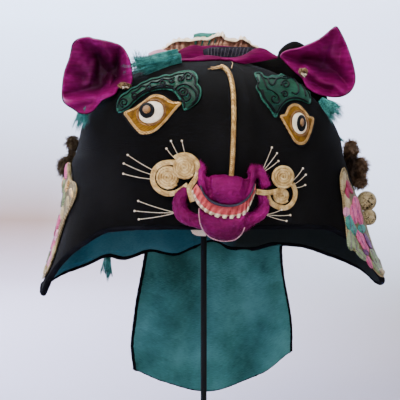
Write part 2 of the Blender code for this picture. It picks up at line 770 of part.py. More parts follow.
def ear_grid(ear):
    yaw = math.radians(ear.turn)
    right = Vector((math.cos(yaw), math.sin(yaw), 0.0))
    up = Vector((0.0, 0.0, 1.0))
    out = right.cross(up)
    centre = Vector(ear.centre)
    rows = [[clear_of_crown(centre - out * ear.depth, EAR_LIFT)]]
    for share in reversed(EAR_RINGS):
        row = []
        for rim in ear.rim:
            angle = math.radians(rim.angle)
            forward = rim.forward * share**2 - ear.depth * (1.0 - share**2)
            point = (
                centre + right * (rim.reach * ear.spread * share * math.cos(angle))
                + up * (rim.reach * share * math.sin(angle)) + out * forward
            )
            row.append(clear_of_crown(point, EAR_LIFT, rim.sewn * share**2))
        rows.append(row)
    return rows, out


def ring_normals(rows, facing):
    """Normals of a polar grid, all on the side that it faces."""
    paired = [[(rows[0][0], facing)]]
    for i in range(1, len(rows)):
        ring = []
        count = len(rows[i])
        for j in range(count):
            along = rows[i][(j + 1) % count] - rows[i][j - 1]
            outer = rows[min(i + 1, len(rows) - 1)][j]
            inner = rows[i - 1][j % len(rows[i - 1])]
            normal = along.cross(outer - inner).normalized()
            ring.append((rows[i][j], normal if normal.dot(facing) > 0 else -normal))
        paired.append(ring)
    return paired


def make_ears():
    for ear in EARS:
        grid, out = ear_grid(ear)
        rows = ring_normals(grid, out)
        walled(f"ear_{ear.side}", rows, 0.0, EAR_WALL, "black_cloth", wrap=True)
        start = EAR_WALL + LINING_GAP
        walled(f"ear_lining_{ear.side}", rows, start, start + EAR_LINING_WALL,
               "magenta_satin", wrap=True)
    for knot in KNOTS:
        lumpy_ball(knot.name, Vector(knot.centre), knot.radius, "cream_braid")


# Face


def make_brows_and_eyes():
    padded_strip("brow_left", LEFT_BROW, SEAT, SEAT + BROW_THICKNESS, "green_satin")
    padded_strip("brow_right", RIGHT_BROW, SEAT, SEAT + BROW_THICKNESS, "green_satin")
    for eye in EYES:
        top = SEAT + EYE_THICKNESS
        padded_strip(f"eye_field_{eye.side}", eye.field, SEAT, top, "gold_braid")
        layers = (
            ("white", eye.white_at, eye.white_half, WHITE_LIFT, "white_cloth"),
            ("iris", eye.iris_at, eye.iris_half, IRIS_LIFT, "black_cloth"),
            ("bead", eye.iris_at, (eye.bead, eye.bead), BEAD_LIFT, "tan_bead"),
        )
        for part, place, half, (under, over), look in layers:
            disc(f"eye_{part}_{eye.side}", *place, half, top + under, top + over, look)


def crown_route(rows, lift):
    route = []
    for row in rows:
        rise = rise_at(row.bearing, row.height)
        out = crown_normal(row.bearing, rise)
        route.append((crown_point(row.bearing, rise) + out * lift, out))
    return route


def make_seam_cord():
    route = crown_route(SEAM_CORD, SEAM_CORD_RADIUS + SEAT)
    radii = [SEAM_CORD_RADIUS] * len(route)
    radii[0] *= SEAM_CORD_END
    cord("seam_cord", route, radii, "gold_braid")


def mouth_line(share, drop=0.0):
    """Bearing and height on the smiling line of the upper lip, for a share of -1 to 1."""
    return MOUTH_MIDDLE + MOUTH_HALF * share, MOUTH_LOW + MOUTH_CURL * share**2 - drop


def shares(count):
    return [2.0 * k / (count - 1) - 1.0 for k in range(count)]


def make_muzzle():
    for side, rows in (("left", LEFT_MUZZLE), ("right", RIGHT_MUZZLE)):
        route = []
        for row in rows:
            flat = row.radius * math.cos(math.pi / ROLL_SIDES)
            route += crown_route([row], flat + SEAT)
        radii = [row.radius for row in rows]
        cord(f"muzzle_{side}", route, radii, "magenta_satin", sides=ROLL_SIDES)
    padded_strip("nose", NOSE, *NOSE_LIFT, "magenta_satin", across=4, edge=0.55)
    padded_strip("mouth_ground", MOUTH_GROUND, *MOUTH_GROUND_LIFT, "black_cloth", edge=1.0)
    lip = []
    for share in shares(9):
        bearing, height = mouth_line(share)
        lip.append(Across(bearing, height + LIP_WIDTH, bearing, height))
    padded_strip("upper_lip", lip, *LIP_LIFT, "magenta_satin", across=2, edge=0.6)


def make_lip_binding():
    route = []
    for share in shares(11):
        bearing, height = mouth_line(share, LIP_BINDING_RADIUS + LIP_BINDING_GAP)
        route += crown_route([SeamPoint(bearing, height)], LIP_BINDING_LIFT)
    cord("lip_binding", route, [LIP_BINDING_RADIUS] * len(route), "lilac_binding", sides=5)


def make_gum_ruffle():
    """Box pleats that hang from the lip line."""
    columns = 2 * GUM_PLEATS + 1
    grid = []
    for depth in (0.0, 1.0):
        row = []
        for k, share in enumerate(shares(columns)):
            drop = GUM_DROP + GUM_DEPTH * depth
            bearing, height = mouth_line(share * (1.0 + GUM_SPREAD * depth), drop)
            fold = GUM_FOLD * blend(0.5, 1.0, depth) * (1 if k % 2 else -1)
            row.append(on_crown(bearing, height, GUM_LIFT + fold))
        grid.append(row)
    walled("gum_ruffle", with_normals(grid), 0.0, GUM_WALL, "coral_ribbon")


def make_jaw():
    padded_strip("lower_jaw", JAW, *JAW_LIFT, "magenta_satin", across=4, edge=0.5)
    route = []
    for row in JAW[1:-1]:
        bearing = blend(row.low_bearing, row.top_bearing, JAW_PIPING_INSET)
        height = blend(row.low_height, row.top_height, JAW_PIPING_INSET)
        route += crown_route([SeamPoint(bearing, height)], JAW_PIPING_LIFT)
    cord("jaw_piping", route, [JAW_PIPING_RADIUS] * len(route), "pink_piping", sides=5)


def make_cheek_coils():
    for coil in COILS:
        disc(coil.name, coil.bearing, coil.height, (coil.radius, coil.radius),
             coil.under, coil.under + COIL_THICKNESS, "cream_braid", sides=COIL_SIDES)
    bearing, height, radius, half = COIL_RING
    origin, right, up, out = crown_frame(bearing, height)
    route = []
    for k in range(COIL_SIDES):
        angle = 2.0 * math.pi * k / COIL_SIDES
        spoke = right * (radius * math.cos(angle)) + up * (radius * math.sin(angle))
        route.append((origin + spoke + out * (half + SEAT), out))
    cord("cheek_ring_right", route, [half] * COIL_SIDES, "cream_braid", sides=5, closed=True)


def make_floral_bands():
    for name, rows in (("floral_band_left", LEFT_BAND), ("floral_band_right", RIGHT_BAND)):
        stations = []
        for k in range(BAND_STEPS + 1):
            height, front, back = sample(rows, k / BAND_STEPS)
            bulge = BAND_SCALLOP * (1 if k % 2 else -1)
            outward = math.copysign(bulge, front)
            stations.append(Across(front - outward, height, back + outward, height))
        padded_strip(name, stations, BAND_LIFT, BAND_LIFT + BAND_THICKNESS, "floral_embroidery",
                     across=BAND_ACROSS, edge=0.8)


# Balls, tufts and the ornament on the top


def lumpy_ball(name, centre, radius, look):
    shape = bmesh.new()
    bmesh.ops.create_icosphere(shape, subdivisions=2, radius=radius)
    points = []
    for corner in shape.verts:
        swell = 1.0 + BALL_LUMP * math.cos(3.0 * corner.index)
        points.append(centre + corner.co * (swell / (1.0 + BALL_LUMP)))
    faces = [[corner.index for corner in face.verts] for face in shape.faces]
    shape.free()
    return make_solid(name, points, faces, look)


def make_balls():
    looks = {"pompom": "brown_fur", "fur": "brown_fur", "silk": "silk_mesh"}
    for ball in BALLS:
        origin, _, _, out = crown_frame(ball.bearing, ball.height)
        centre = origin + out * (ball.radius + ball.lift)
        lumpy_ball(ball.name, centre, ball.radius, looks[ball.name.split("_")[0]])


def make_tuft(tuft):
    """Locks of floss: a star section that swells from its root and ends in points."""
    root = Vector(tuft.root)
    tip = Vector(tuft.tip)
    along = tip - root
    side = along.cross(TUFT_LEAN).normalized()
    up = side.cross(along.normalized())
    count = 2 * tuft.locks
    rows = []
    for ring in TUFT_RINGS:
        row = []
        for k in range(count):
            valley = TUFT_VALLEY if k % 2 else 1.0
            angle = 2.0 * math.pi * k / count
            reach = tuft.radius * ring.width * valley
            spoke = side * (reach * math.cos(angle)) + up * (reach * math.sin(angle))
            row.append(root + along * ring.place + spoke)
        rows.append(row)
    ends = []
    for k, point in enumerate(rows[-1]):
        inward = root + along * TUFT_RINGS[-1].place - point
        reach = LOCK_VALLEY if k % 2 else LOCK_POINT
        ends.append(point + along * reach + inward * LOCK_GATHER)
    rows.append(ends)
    points = [point for row in rows for point in row]
    faces = [tuple(range(count))]
    for stage in range(len(rows) - 1):
        for k in range(count):
            n = (k + 1) % count
            faces.append((stage * count + k, stage * count + n,
                          (stage + 1) * count + n, (stage + 1) * count + k))
    points.append(root + along * TUFT_CORE)
    middle = len(points) - 1
    last = (len(rows) - 1) * count
    faces += [(last + k, last + (k + 1) % count, middle) for k in range(count)]
    make_solid(tuft.name, points, faces, "teal_floss")


def make_rosette():
    """Pleated ribbon that stands across the top in an arch."""
    columns = 2 * ROSETTE_PLEATS + 1
    grid = [[], []]
    for k, share in enumerate(shares(columns)):
        x = ROSETTE_CENTRE_X + ROSETTE_HALF * share
        fold = ROSETTE_FOLD * (1 if k % 2 else -1)
        foot = top_height(x, ROSETTE_Y) + TOP_FOOT
        rise = blend(ROSETTE_HEIGHT, ROSETTE_END_HEIGHT, abs(share) ** ROSETTE_ARCH)
        grid[0].append(Vector((x * ROSETTE_FAN, ROSETTE_Y + FOLD_AT_TOP * fold, foot + rise)))
        grid[1].append(Vector((x, ROSETTE_Y + FOLD_AT_FOOT * fold, foot)))
    walled("rosette", with_normals(grid), 0.0, ROSETTE_WALL, "coral_ribbon")


def make_petals():
    """Two satin leaves that stand one behind the other, and the leaf between them."""
    for petal in PETALS:
        grid = []
        for level in PETAL_LEVELS:
            row = []
            for k in range(PETAL_COLUMNS):
                share = k / (PETAL_COLUMNS - 1)
                x = blend(petal.left, petal.right, share)
                arc = math.sin(math.pi * share) ** PETAL_ROUNDNESS
                crest = petal.height * blend(PETAL_END, 1.0, arc)
                foot = top_height(x, petal.front) + TOP_FOOT
                belly = PETAL_BELLY * math.sin(math.pi * level)
                y = petal.front + petal.lean * level - belly
                row.append(Vector((x, y, foot + crest * level)))
            grid.append(row)
        walled(petal.name, with_normals(grid), 0.0, PETAL_WALL, "magenta_satin")


def make_top_leaf():
    grid = []
    for level in LEAF_LEVELS:
        row = []
        for k in range(LEAF_COLUMNS):
            share = k / (LEAF_COLUMNS - 1)
            x = blend(LEAF_LEFT, LEAF_RIGHT, share)
            crest = blend(LEAF_END_HEIGHT, LEAF_HEIGHT, math.sin(math.pi * share))
            foot = top_height(x, LEAF_Y) + TOP_FOOT
            row.append(Vector((x, LEAF_Y + LEAF_LEAN * level, foot + crest * level)))
        grid.append(row)
    walled("top_leaf", with_normals(grid), 0.0, LEAF_WALL, "grey_embroidery")


# The stand


def turned(name, profile, sides, look):
    """A solid of revolution about the rod's axis from (radius, height) rows."""
    sections = []
    for radius, height in profile:
        sections.append([
            Vector((radius * math.cos(2.0 * math.pi * k / sides),
                    radius * math.sin(2.0 * math.pi * k / sides), height))
            for k in range(sides)
        ])
    return loft(name, sections, look)


def make_stand():
    edge = BASE_RADIUS - BASE_BEVEL
    turned("base_plate", [
        (edge, 0.0), (BASE_RADIUS, BASE_BEVEL), (BASE_RADIUS, BASE_THICKNESS - BASE_BEVEL),
        (edge, BASE_THICKNESS),
    ], BASE_SIDES, "black_steel")
    cloth = CROWN_WALL + LINING_GAP + LINING_WALL + PAD_GAP
    pad_top = top_height(0.0, 0.0) - cloth
    rim = min(top_height(PAD_RADIUS * s, 0.0) for s in (-1, 1)) - cloth - PAD_RIM_DROP
    pad_low = pad_top - PAD_THICKNESS
    turned("crown_pad", [
        (PAD_RADIUS - PAD_TAPER, pad_low), (PAD_RADIUS, rim - PAD_RIM), (PAD_RADIUS, rim),
        (PAD_RADIUS * 0.5, blend(rim, pad_top, 0.8)), (ROD_RADIUS, pad_top),
    ], PAD_SIDES, "black_cloth")
    turned("rod", [
        (ROD_RADIUS, BASE_THICKNESS + STAND_GAP), (ROD_RADIUS, pad_low - STAND_GAP),
    ], ROD_SIDES, "black_steel")


def build():
    clear_scene()
    make_shells()
    make_hem_binding()
    make_neck_flap()
    make_ears()
    make_brows_and_eyes()
    make_seam_cord()
    make_muzzle()
    make_lip_binding()
    make_gum_ruffle()
    make_jaw()
    make_cheek_coils()
    make_floral_bands()
    make_balls()
    for tuft in TUFTS:
        make_tuft(tuft)
    make_rosette()
    make_petals()
    make_top_leaf()
    make_stand()


build()
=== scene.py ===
# %% [markdown]
# # A child's tiger hat
# Such a hat is sewn by hand as the face of a tiger: black cloth with a teal lining, satin ears,
# embroidered brows and eyes, coils of braid on the cheeks, and tufts of floss and fur.
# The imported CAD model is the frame. Each cell below makes one step, and says why it is made
# that way. Sizes are in millimetres until a mesh is made, because cloth is thin and small
# numbers with many zeros are hard to read.

# %% Load the frame
import math
import random

import bmesh
import bpy
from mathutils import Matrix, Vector, noise
from mathutils.bvhtree import BVHTree


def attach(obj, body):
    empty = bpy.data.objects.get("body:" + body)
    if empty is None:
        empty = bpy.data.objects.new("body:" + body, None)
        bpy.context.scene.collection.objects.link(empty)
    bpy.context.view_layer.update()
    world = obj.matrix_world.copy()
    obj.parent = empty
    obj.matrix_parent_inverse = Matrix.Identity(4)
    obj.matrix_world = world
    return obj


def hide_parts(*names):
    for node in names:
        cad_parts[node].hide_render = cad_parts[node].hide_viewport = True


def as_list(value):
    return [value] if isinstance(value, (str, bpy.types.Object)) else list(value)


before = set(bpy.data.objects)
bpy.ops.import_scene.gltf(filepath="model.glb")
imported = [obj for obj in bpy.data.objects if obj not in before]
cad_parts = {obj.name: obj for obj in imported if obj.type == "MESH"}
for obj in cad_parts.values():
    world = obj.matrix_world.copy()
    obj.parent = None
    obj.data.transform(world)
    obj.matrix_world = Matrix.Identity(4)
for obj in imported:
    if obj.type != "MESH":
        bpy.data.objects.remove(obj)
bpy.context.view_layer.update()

MM = 0.001
UP = Vector((0, 0, 1))
chance = random.Random(7)
print(len(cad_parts), "solids in the frame")

# %% [markdown]
# ## The camera
# The photograph was taken from straight in front of the rod, a little to the hat's own right,
# with the eye level with the cheeks. The camera comes first because many sewn pieces are
# placed through it: a pixel is a straight line from the eye, and the piece lies where that
# line meets the cloth. From any other side it still lies on the cloth.

# %% Camera
PICTURE = 400
FOCAL_PIXELS = 1025.6
SENSOR = 36
EYE_DISTANCE = 800
EYE_SIDE = -2.9
EYE_HEIGHT = 200
TURN = math.radians(-9)
RIGHT = Vector((math.cos(TURN), math.sin(TURN), 0))
AHEAD = Vector((-math.sin(TURN), math.cos(TURN), 0))
EYE = RIGHT * EYE_SIDE - AHEAD * EYE_DISTANCE + UP * EYE_HEIGHT

bpy.ops.object.camera_add(location=EYE * MM, rotation=(math.pi / 2, 0, TURN))
camera = bpy.context.object
camera.name = "camera"
camera.data.sensor_width = SENSOR
camera.data.lens = SENSOR * FOCAL_PIXELS / PICTURE
camera.data.clip_start = 0.05
bpy.context.scene.camera = camera


def sight(px, py):
    """Direction from the eye through a pixel of the picture."""
    across = (px - PICTURE / 2) / FOCAL_PIXELS
    up = (PICTURE / 2 - py) / FOCAL_PIXELS
    return (AHEAD + RIGHT * across + UP * up).normalized()


def pixel_of(point):
    """Pixel at which a point is seen."""
    ray = point - EYE
    far = ray.dot(AHEAD)
    across = FOCAL_PIXELS * ray.dot(RIGHT) / far
    down = -FOCAL_PIXELS * ray.z / far
    return PICTURE / 2 + across, PICTURE / 2 + down


print("lens", round(camera.data.lens, 1), "mm")

# %% [markdown]
# ## Helpers for materials
# Cloth is never one flat colour. Each material mixes two or three close shades by noise,
# adds threads by waves, and turns both into a fine bump. A wave's bands repeat every
# pi / 10 of its own length unit, so the scale for a thread width follows from that.

# %% Material helpers
BAND_LENGTH = math.pi / 10
# Where the dark, middle and light shades stand on a ramp
WOVEN_STOPS = (0.36, 0.5, 0.64)
SATIN_STOPS = (0.34, 0.5, 0.66)
STITCHED_STOPS = (0.3, 0.5, 0.7)
# Scale and detail of each noise
SLUBS = (260, 2)
CLOUDS = (30, 4)
RUBBING = (90, 3)
FUZZ = (240, 3)
SATIN_THREAD = 0.0005
SATIN_RELIEF = 0.00006


def add_node(tree, kind, links=(), **values):
    """A node with its values set and its inputs linked; links holds (input, output) pairs."""
    made = tree.nodes.new(kind)
    for key, value in values.items():
        if key in made.inputs:
            made.inputs[key].default_value = value
        else:
            setattr(made, key, value)
    for name, output in links:
        tree.links.new(output, made.inputs[name])
    return made


def new_look(name, roughness, metallic=0, sheen=0, tint=(1, 1, 1), specular=0.1):
    """A material, its node tree, its shader and the coordinates of its piece."""
    look = bpy.data.materials.new(name)
    look.use_nodes = True
    tree = look.node_tree
    shader = tree.nodes["Principled BSDF"]
    settings = {
        "Roughness": roughness, "Metallic": metallic, "Sheen Weight": sheen, "Sheen Tint": (*tint, 1),
        "Specular IOR Level": specular,
    }
    for key, value in settings.items():
        shader.inputs[key].default_value = value
    return look, tree, shader, add_node(tree, "ShaderNodeTexCoord").outputs["Object"]


def ramp(tree, factor, stops):
    """A colour ramp of (place, colour) stops."""
    made = add_node(tree, "ShaderNodeValToRGB", [("Fac", factor)])
    elements = made.color_ramp.elements
    while len(elements) < len(stops):
        elements.new(0.5)
    for element, (place, colour) in zip(elements, stops):
        element.position = place
        element.color = (*colour, 1)
    return made.outputs["Color"]


def sized(tree, source, scale):
    """Coordinates stretched along each axis."""
    return add_node(tree, "ShaderNodeMapping", [("Vector", source)], Scale=scale).outputs[0]


def noise_of(tree, source, scale, detail):
    made = add_node(tree, "ShaderNodeTexNoise", [("Vector", source)], Scale=scale, Detail=detail)
    return made.outputs["Fac"]


def bands_of(tree, source, width, axis, wobble):
    """Bands a given width apart, in metres, across one axis."""
    settings = {"Scale": BAND_LENGTH / width, "Distortion": wobble, "Detail Scale": 0.6}
    made = add_node(tree, "ShaderNodeTexWave", [("Vector", source)], bands_direction=axis, **settings)
    return made.outputs["Fac"]


def span(tree, value, low, high, to=(0, 1)):
    """A value carried from one range to another."""
    limits = {"From Min": low, "From Max": high, "To Min": to[0], "To Max": to[1]}
    return add_node(tree, "ShaderNodeMapRange", [("Value", value)], **limits).outputs["Result"]


def math_of(tree, operation, first, second):
    made = add_node(tree, "ShaderNodeMath", operation=operation)
    for index, value in enumerate((first, second)):
        if isinstance(value, (int, float)):
            made.inputs[index].default_value = value
        else:
            tree.links.new(value, made.inputs[index])
    return made.outputs[0]


def summed(tree, first, share, second, other_share):
    """Two values added, each times its own share."""
    return math_of(tree, "ADD", math_of(tree, "MULTIPLY", first, share),
                   math_of(tree, "MULTIPLY", second, other_share))


def blended(tree, share, first, second, kind="MIX"):
    """Two colours mixed; each value may be a number, a colour or an output."""
    made = add_node(tree, "ShaderNodeMix", data_type="RGBA", blend_type=kind)
    for name, value in (("Factor", share), ("A", first), ("B", second)):
        socket = [found for found in made.inputs if found.name == name and found.enabled][0]
        if isinstance(value, (int, float, tuple)):
            socket.default_value = value
        else:
            tree.links.new(value, socket)
    return [found for found in made.outputs if found.enabled][0]


def clad(tree, shader, colour, height, depth):
    """Gives the shader its colour, and turns a height of 0 to 1 into relief of a depth in metres."""
    tree.links.new(colour, shader.inputs["Base Color"])
    relief = add_node(tree, "ShaderNodeBump", [("Height", height)], Distance=depth)
    tree.links.new(relief.outputs["Normal"], shader.inputs["Normal"])


def woven(name, shades, thread, depth=0.0002, mottle=18, painted_shadow=None):
    """Plain weave on the piece's own map, mottled between dark, middle and light shades.

    The last argument, (from x, to x, colour), blends the cloth into that colour across the hat; on the lining
    it is a painted shadow inside the right side of the hat."""
    look, tree, shader, place = new_look(name, 0.95, specular=0.06)
    cloth = add_node(tree, "ShaderNodeUVMap", uv_map="cloth").outputs["UV"]
    warp, weft = (bands_of(tree, cloth, thread, axis, 1.2) for axis in "XY")
    cloudy = noise_of(tree, place, mottle, 5)
    fine = noise_of(tree, sized(tree, cloth, (1, 9, 1)), *SLUBS)
    colour = ramp(tree, summed(tree, cloudy, 0.75, fine, 0.25), list(zip(WOVEN_STOPS, shades)))
    # Painted shadow: across the hat the colour blends into the given darker colour
    if painted_shadow:
        across = add_node(tree, "ShaderNodeSeparateXYZ", [("Vector", place)]).outputs["X"]
        colour = blended(tree, span(tree, across, *painted_shadow[:2]), colour, (*painted_shadow[2], 1))
    weave = math_of(tree, "MAXIMUM", warp, weft)
    clad(tree, shader, colour, math_of(tree, "ADD", weave, fine), depth)
    return look


def satin(name, shades, rub=0.4, painted_hollow_shade=False, **finish):
    """Satin: fine threads one way, soft shine, and cloudy shade changes.

    With the flag set, the piece's own hollow attribute multiplies its colour: painted shade in its deep
    parts."""
    look, tree, shader, place = new_look(name, **{"roughness": 0.52, **finish})
    threads = bands_of(tree, place, SATIN_THREAD, "Z", 0.8)
    cloudy = noise_of(tree, place, *CLOUDS)
    rubbed = noise_of(tree, sized(tree, place, (1, 1, 6)), *RUBBING)
    colour = ramp(tree, summed(tree, cloudy, 1 - rub, rubbed, rub), list(zip(SATIN_STOPS, shades)))
    # Painted shade: the hollow attribute darkens the colour where the piece lies deep
    if painted_hollow_shade:
        painted_shade = add_node(tree, "ShaderNodeAttribute", attribute_name="hollow").outputs["Color"]
        colour = blended(tree, 1, colour, painted_shade, "MULTIPLY")
    clad(tree, shader, colour, math_of(tree, "ADD", threads, cloudy), SATIN_RELIEF)
    return look


def stitched(name, shades, thread=0.0006, depth=0.0001, stripe=0.35, **finish):
    """Thread lying side by side, as in couched cords, satin stitch and braid."""
    look, tree, shader, place = new_look(name, **{"roughness": 0.6, "specular": 0.2, **finish})
    threads = bands_of(tree, place, thread, "DIAGONAL", 1.5)
    mixed = summed(tree, threads, stripe, noise_of(tree, place, *FUZZ), 1 - stripe)
    clad(tree, shader, ramp(tree, mixed, list(zip(STITCHED_STOPS, shades))), threads, depth)
    return look


def painted(name, shade, roughness):
    """Paint on steel, with faint orange peel and dust that dulls it in places."""
    look, tree, shader, place = new_look(name, roughness)
    dust = noise_of(tree, place, 26, 6)
    pale = tuple(value * 2.2 + 0.001 for value in shade)
    colour = ramp(tree, dust, [(0.35, shade), (0.75, pale)])
    clad(tree, shader, colour, noise_of(tree, place, 900, 2), 0.00004)
    dull = span(tree, dust, 0, 1, (roughness - 0.08, roughness + 0.2))
    tree.links.new(dull, shader.inputs["Roughness"])
    return look


# %% [markdown]
# ## The finishes
# The real hat has about a dozen cloths and threads. The black cotton has gone dusty, the
# lining is a hand-dyed teal with paler blotches, and the satin is a deep magenta.

# %% Finishes
BLACK = woven("black_cotton", [(0.0027, 0.0024, 0.0021), (0.0042, 0.0038, 0.0034), (0.0078, 0.0071, 0.0065)],
              0.0008, depth=0.00014)
# The lining darkens on the right of the hat, from x = 18 to 42 mm: a painted shadow inside the hat
TEAL = woven("teal_lining", [(0.014, 0.062, 0.080), (0.033, 0.126, 0.146), (0.064, 0.2, 0.22)],
             0.0009, mottle=14, painted_shadow=(0.018, 0.042, (0.016, 0.021, 0.018)))
FADED = woven("faded_teal", [(0.02, 0.078, 0.064), (0.045, 0.165, 0.142), (0.09, 0.265, 0.235)],
              0.0009, mottle=26)
BINDING = satin("black_binding", [(0.002, 0.002, 0.0025), (0.004, 0.004, 0.005), (0.009, 0.0085, 0.01)],
                roughness=0.9, specular=0.02)
MAGENTA = satin("magenta_satin", [(0.085, 0, 0.031), (0.18, 0, 0.068), (0.33, 0.002, 0.142)], rub=0.12)
# The ear satin gets painted shade where its cups lie deep
EAR_SATIN = satin("ear_satin", [(0.09, 0, 0.032), (0.185, 0, 0.07), (0.30, 0.002, 0.135)], painted_hollow_shade=True)
PETAL_SATIN = satin("petal_satin", [(0.04, 0, 0.012), (0.085, 0, 0.028), (0.17, 0.001, 0.066)],
                    roughness=0.75, specular=0.02)
GREEN = satin("green_satin", [(0.002, 0.014, 0.006), (0.005, 0.038, 0.018), (0.012, 0.082, 0.04)])
LILAC = satin("lilac_binding", [(0.02, 0.019, 0.027), (0.046, 0.043, 0.058), (0.10, 0.095, 0.125)])
PALE_PINK = satin("pale_pink_silk", [(0.36, 0.11, 0.17), (0.60, 0.23, 0.31), (0.78, 0.42, 0.48)])
PINK_SATIN = satin("pink_satin", [(0.38, 0.13, 0.18), (0.62, 0.27, 0.33), (0.8, 0.45, 0.5)], roughness=0.5)
CORAL = satin("coral_ribbon", [(0.30, 0.025, 0.03), (0.62, 0.085, 0.085), (0.82, 0.20, 0.18)],
              roughness=0.5, sheen=0.3, tint=(1, 0.7, 0.6))
CREAM_RIBBON = satin("cream_ribbon", [(0.50, 0.33, 0.18), (0.76, 0.58, 0.38), (0.9, 0.76, 0.56)],
                     roughness=0.5, sheen=0.3, tint=(1, 0.9, 0.7))
RIBBON = satin("old_ribbon", [(0.14, 0.05, 0.032), (0.42, 0.2, 0.12), (0.78, 0.54, 0.34)], roughness=0.7)
GREEN_CORD = stitched("green_cord", [(0.005, 0.035, 0.02), (0.014, 0.085, 0.052), (0.04, 0.17, 0.11)],
                      specular=0.1)
BLACK_CORD = stitched("black_cord", [(value, value, value) for value in (0.002, 0.004, 0.009)], specular=0.05)
GOLD = stitched("gold_thread", [(0.16, 0.06, 0.008), (0.40, 0.20, 0.04), (0.78, 0.52, 0.19)],
                roughness=0.38, metallic=0.45, specular=0.3)
DULL_GOLD = stitched("dull_gold_thread", [(0.03, 0.014, 0.006), (0.10, 0.05, 0.02), (0.34, 0.21, 0.09)])
AMBER = stitched("amber_silk", [(0.035, 0.011, 0), (0.125, 0.045, 0.001), (0.32, 0.15, 0.01)], specular=0.06)
CREAM = stitched("cream_braid", [(0.30, 0.16, 0.04), (0.56, 0.35, 0.115), (0.80, 0.58, 0.26)],
                 thread=0.0009, stripe=0.08, depth=0.00004)
WHITE = stitched("white_silk", [(0.62, 0.46, 0.28), (0.88, 0.70, 0.46), (0.95, 0.84, 0.63)], roughness=0.5)
TAN = stitched("tan_bead", [(0.06, 0.02, 0.004), (0.16, 0.062, 0.014), (0.36, 0.19, 0.06)], roughness=0.4)
PINK = stitched("pink_piping", [(0.42, 0.15, 0.16), (0.66, 0.33, 0.33), (0.82, 0.55, 0.52)])
BAND_EDGE = stitched("band_braid", [(0.10, 0.06, 0.02), (0.26, 0.175, 0.07), (0.56, 0.42, 0.2)])
BAND_BASE = stitched("band_cloth", [(0.045, 0.037, 0.013), (0.13, 0.10, 0.042), (0.30, 0.235, 0.11)],
                     thread=0.0009)
GREY = stitched("grey_silk", [(0.004, 0.003, 0.005), (0.012, 0.009, 0.014), (0.04, 0.034, 0.042)],
                roughness=0.9, specular=0.02)
DARK_STITCH = stitched("dark_stitch", [(0.008, 0.005, 0.009), (0.03, 0.019, 0.03), (0.08, 0.06, 0.07)])
FLOSS = stitched("teal_floss", [(0.008, 0.062, 0.052), (0.034, 0.19, 0.158), (0.12, 0.42, 0.35)],
                 specular=0.05)
SILKS = {"gold": GOLD, "pink": PALE_PINK}
SILK_SHADES = {
    "rose": [(0.26, 0.02, 0.065), (0.52, 0.065, 0.17), (0.76, 0.2, 0.32)],
    "red": [(0.12, 0.006, 0.02), (0.26, 0.012, 0.05), (0.40, 0.04, 0.09)],
    "sage": [(0.07, 0.10, 0.04), (0.17, 0.22, 0.09), (0.34, 0.38, 0.20)],
    "jade": [(0.01, 0.09, 0.065), (0.03, 0.20, 0.145), (0.10, 0.34, 0.25)],
    "straw": [(0.17, 0.115, 0.04), (0.38, 0.28, 0.12), (0.62, 0.50, 0.27)],
    "plum": [(0.05, 0.012, 0.045), (0.12, 0.03, 0.11), (0.22, 0.08, 0.2)],
}
for kind, shades in SILK_SHADES.items():
    SILKS[kind] = stitched(f"{kind}_silk", shades)
FUR_SHADES = {
    "olive": (0.05, [(0.022, 0.014, 0.008), (0.07, 0.046, 0.025), (0.17, 0.125, 0.07)]),
    "brown": (0.05, [(0.022, 0.011, 0.006), (0.095, 0.054, 0.029), (0.30, 0.19, 0.11)]),
    "dark": (0.02, [(0.006, 0.004, 0.003), (0.02, 0.013, 0.009), (0.07, 0.045, 0.03)]),
}
FURS = {}
for kind, (gloss, shades) in FUR_SHADES.items():
    FURS[kind] = stitched(f"{kind}_fur", shades, thread=0.002, stripe=0.05, roughness=0.95, specular=gloss)
STEEL = painted("black_painted_steel", (0.0024, 0.0026, 0.0026), 0.55)
print(len(bpy.data.materials), "materials")

# %% [markdown]
# ## Helpers for meshes
# Soft goods are sheets, pads and cords. A sheet is a grid of points with a map of the flat
# cloth on it. A cord is a section carried along a route, and a twisted cord turns a lobed
# section as it goes, so its strands are really there.

# %% Mesh helpers
DOUBLE = 0.00001


def shown(piece, look, slot, *nodes):
    """Gives a finished piece its material and its body, and hides the solids it stands for; slot is not used.
    """
    piece.data.materials.clear()
    piece.data.materials.append(look)
    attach(piece, "root")
    if nodes:
        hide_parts(*nodes)
    return piece


def mesh_piece(name, points, faces, maps=None):
    """An object from points in millimetres, with its faces turned outwards."""
    mesh = bpy.data.meshes.new(name)
    mesh.from_pydata([Vector(point) * MM for point in points], [], faces)
    if maps:
        layer = mesh.uv_layers.new(name="cloth")
        for corner in mesh.loops:
            layer.data[corner.index].uv = maps[corner.vertex_index]
    shape = bmesh.new()
    shape.from_mesh(mesh)
    bmesh.ops.recalc_face_normals(shape, faces=shape.faces[:])
    shape.to_mesh(mesh)
    shape.free()
    mesh.shade_smooth()
    piece = bpy.data.objects.new(name, mesh)
    bpy.context.scene.collection.objects.link(piece)
    return piece


def only(*pieces):
    """Selects these objects and nothing else, as the operators expect."""
    for thing in bpy.context.selected_objects:
        thing.select_set(False)
    for piece in pieces:
        piece.select_set(True)
    bpy.context.view_layer.objects.active = pieces[0]
    return pieces[0]


def modified(piece, kind, **settings):
    """Adds a modifier and applies it at once."""
    only(piece)
    added = piece.modifiers.new(kind.lower(), kind)
    for key, value in settings.items():
        setattr(added, key, value)
    bpy.ops.object.modifier_apply(modifier=added.name)
    return piece


def walled(piece, wall, offset=0):
    """Gives a sheet its thickness in millimetres, half on each side unless it is offset."""
    return modified(piece, "SOLIDIFY", thickness=wall * MM, offset=offset)


def settled(piece):
    """Puts a finished piece's place into its mesh."""
    only(piece)
    bpy.ops.object.transform_apply(location=True, rotation=True, scale=True)
    return piece


def merged(name, pieces):
    """Joins pieces into the first one."""
    joined = only(*pieces)
    bpy.ops.object.join()
    joined.name = name
    return joined


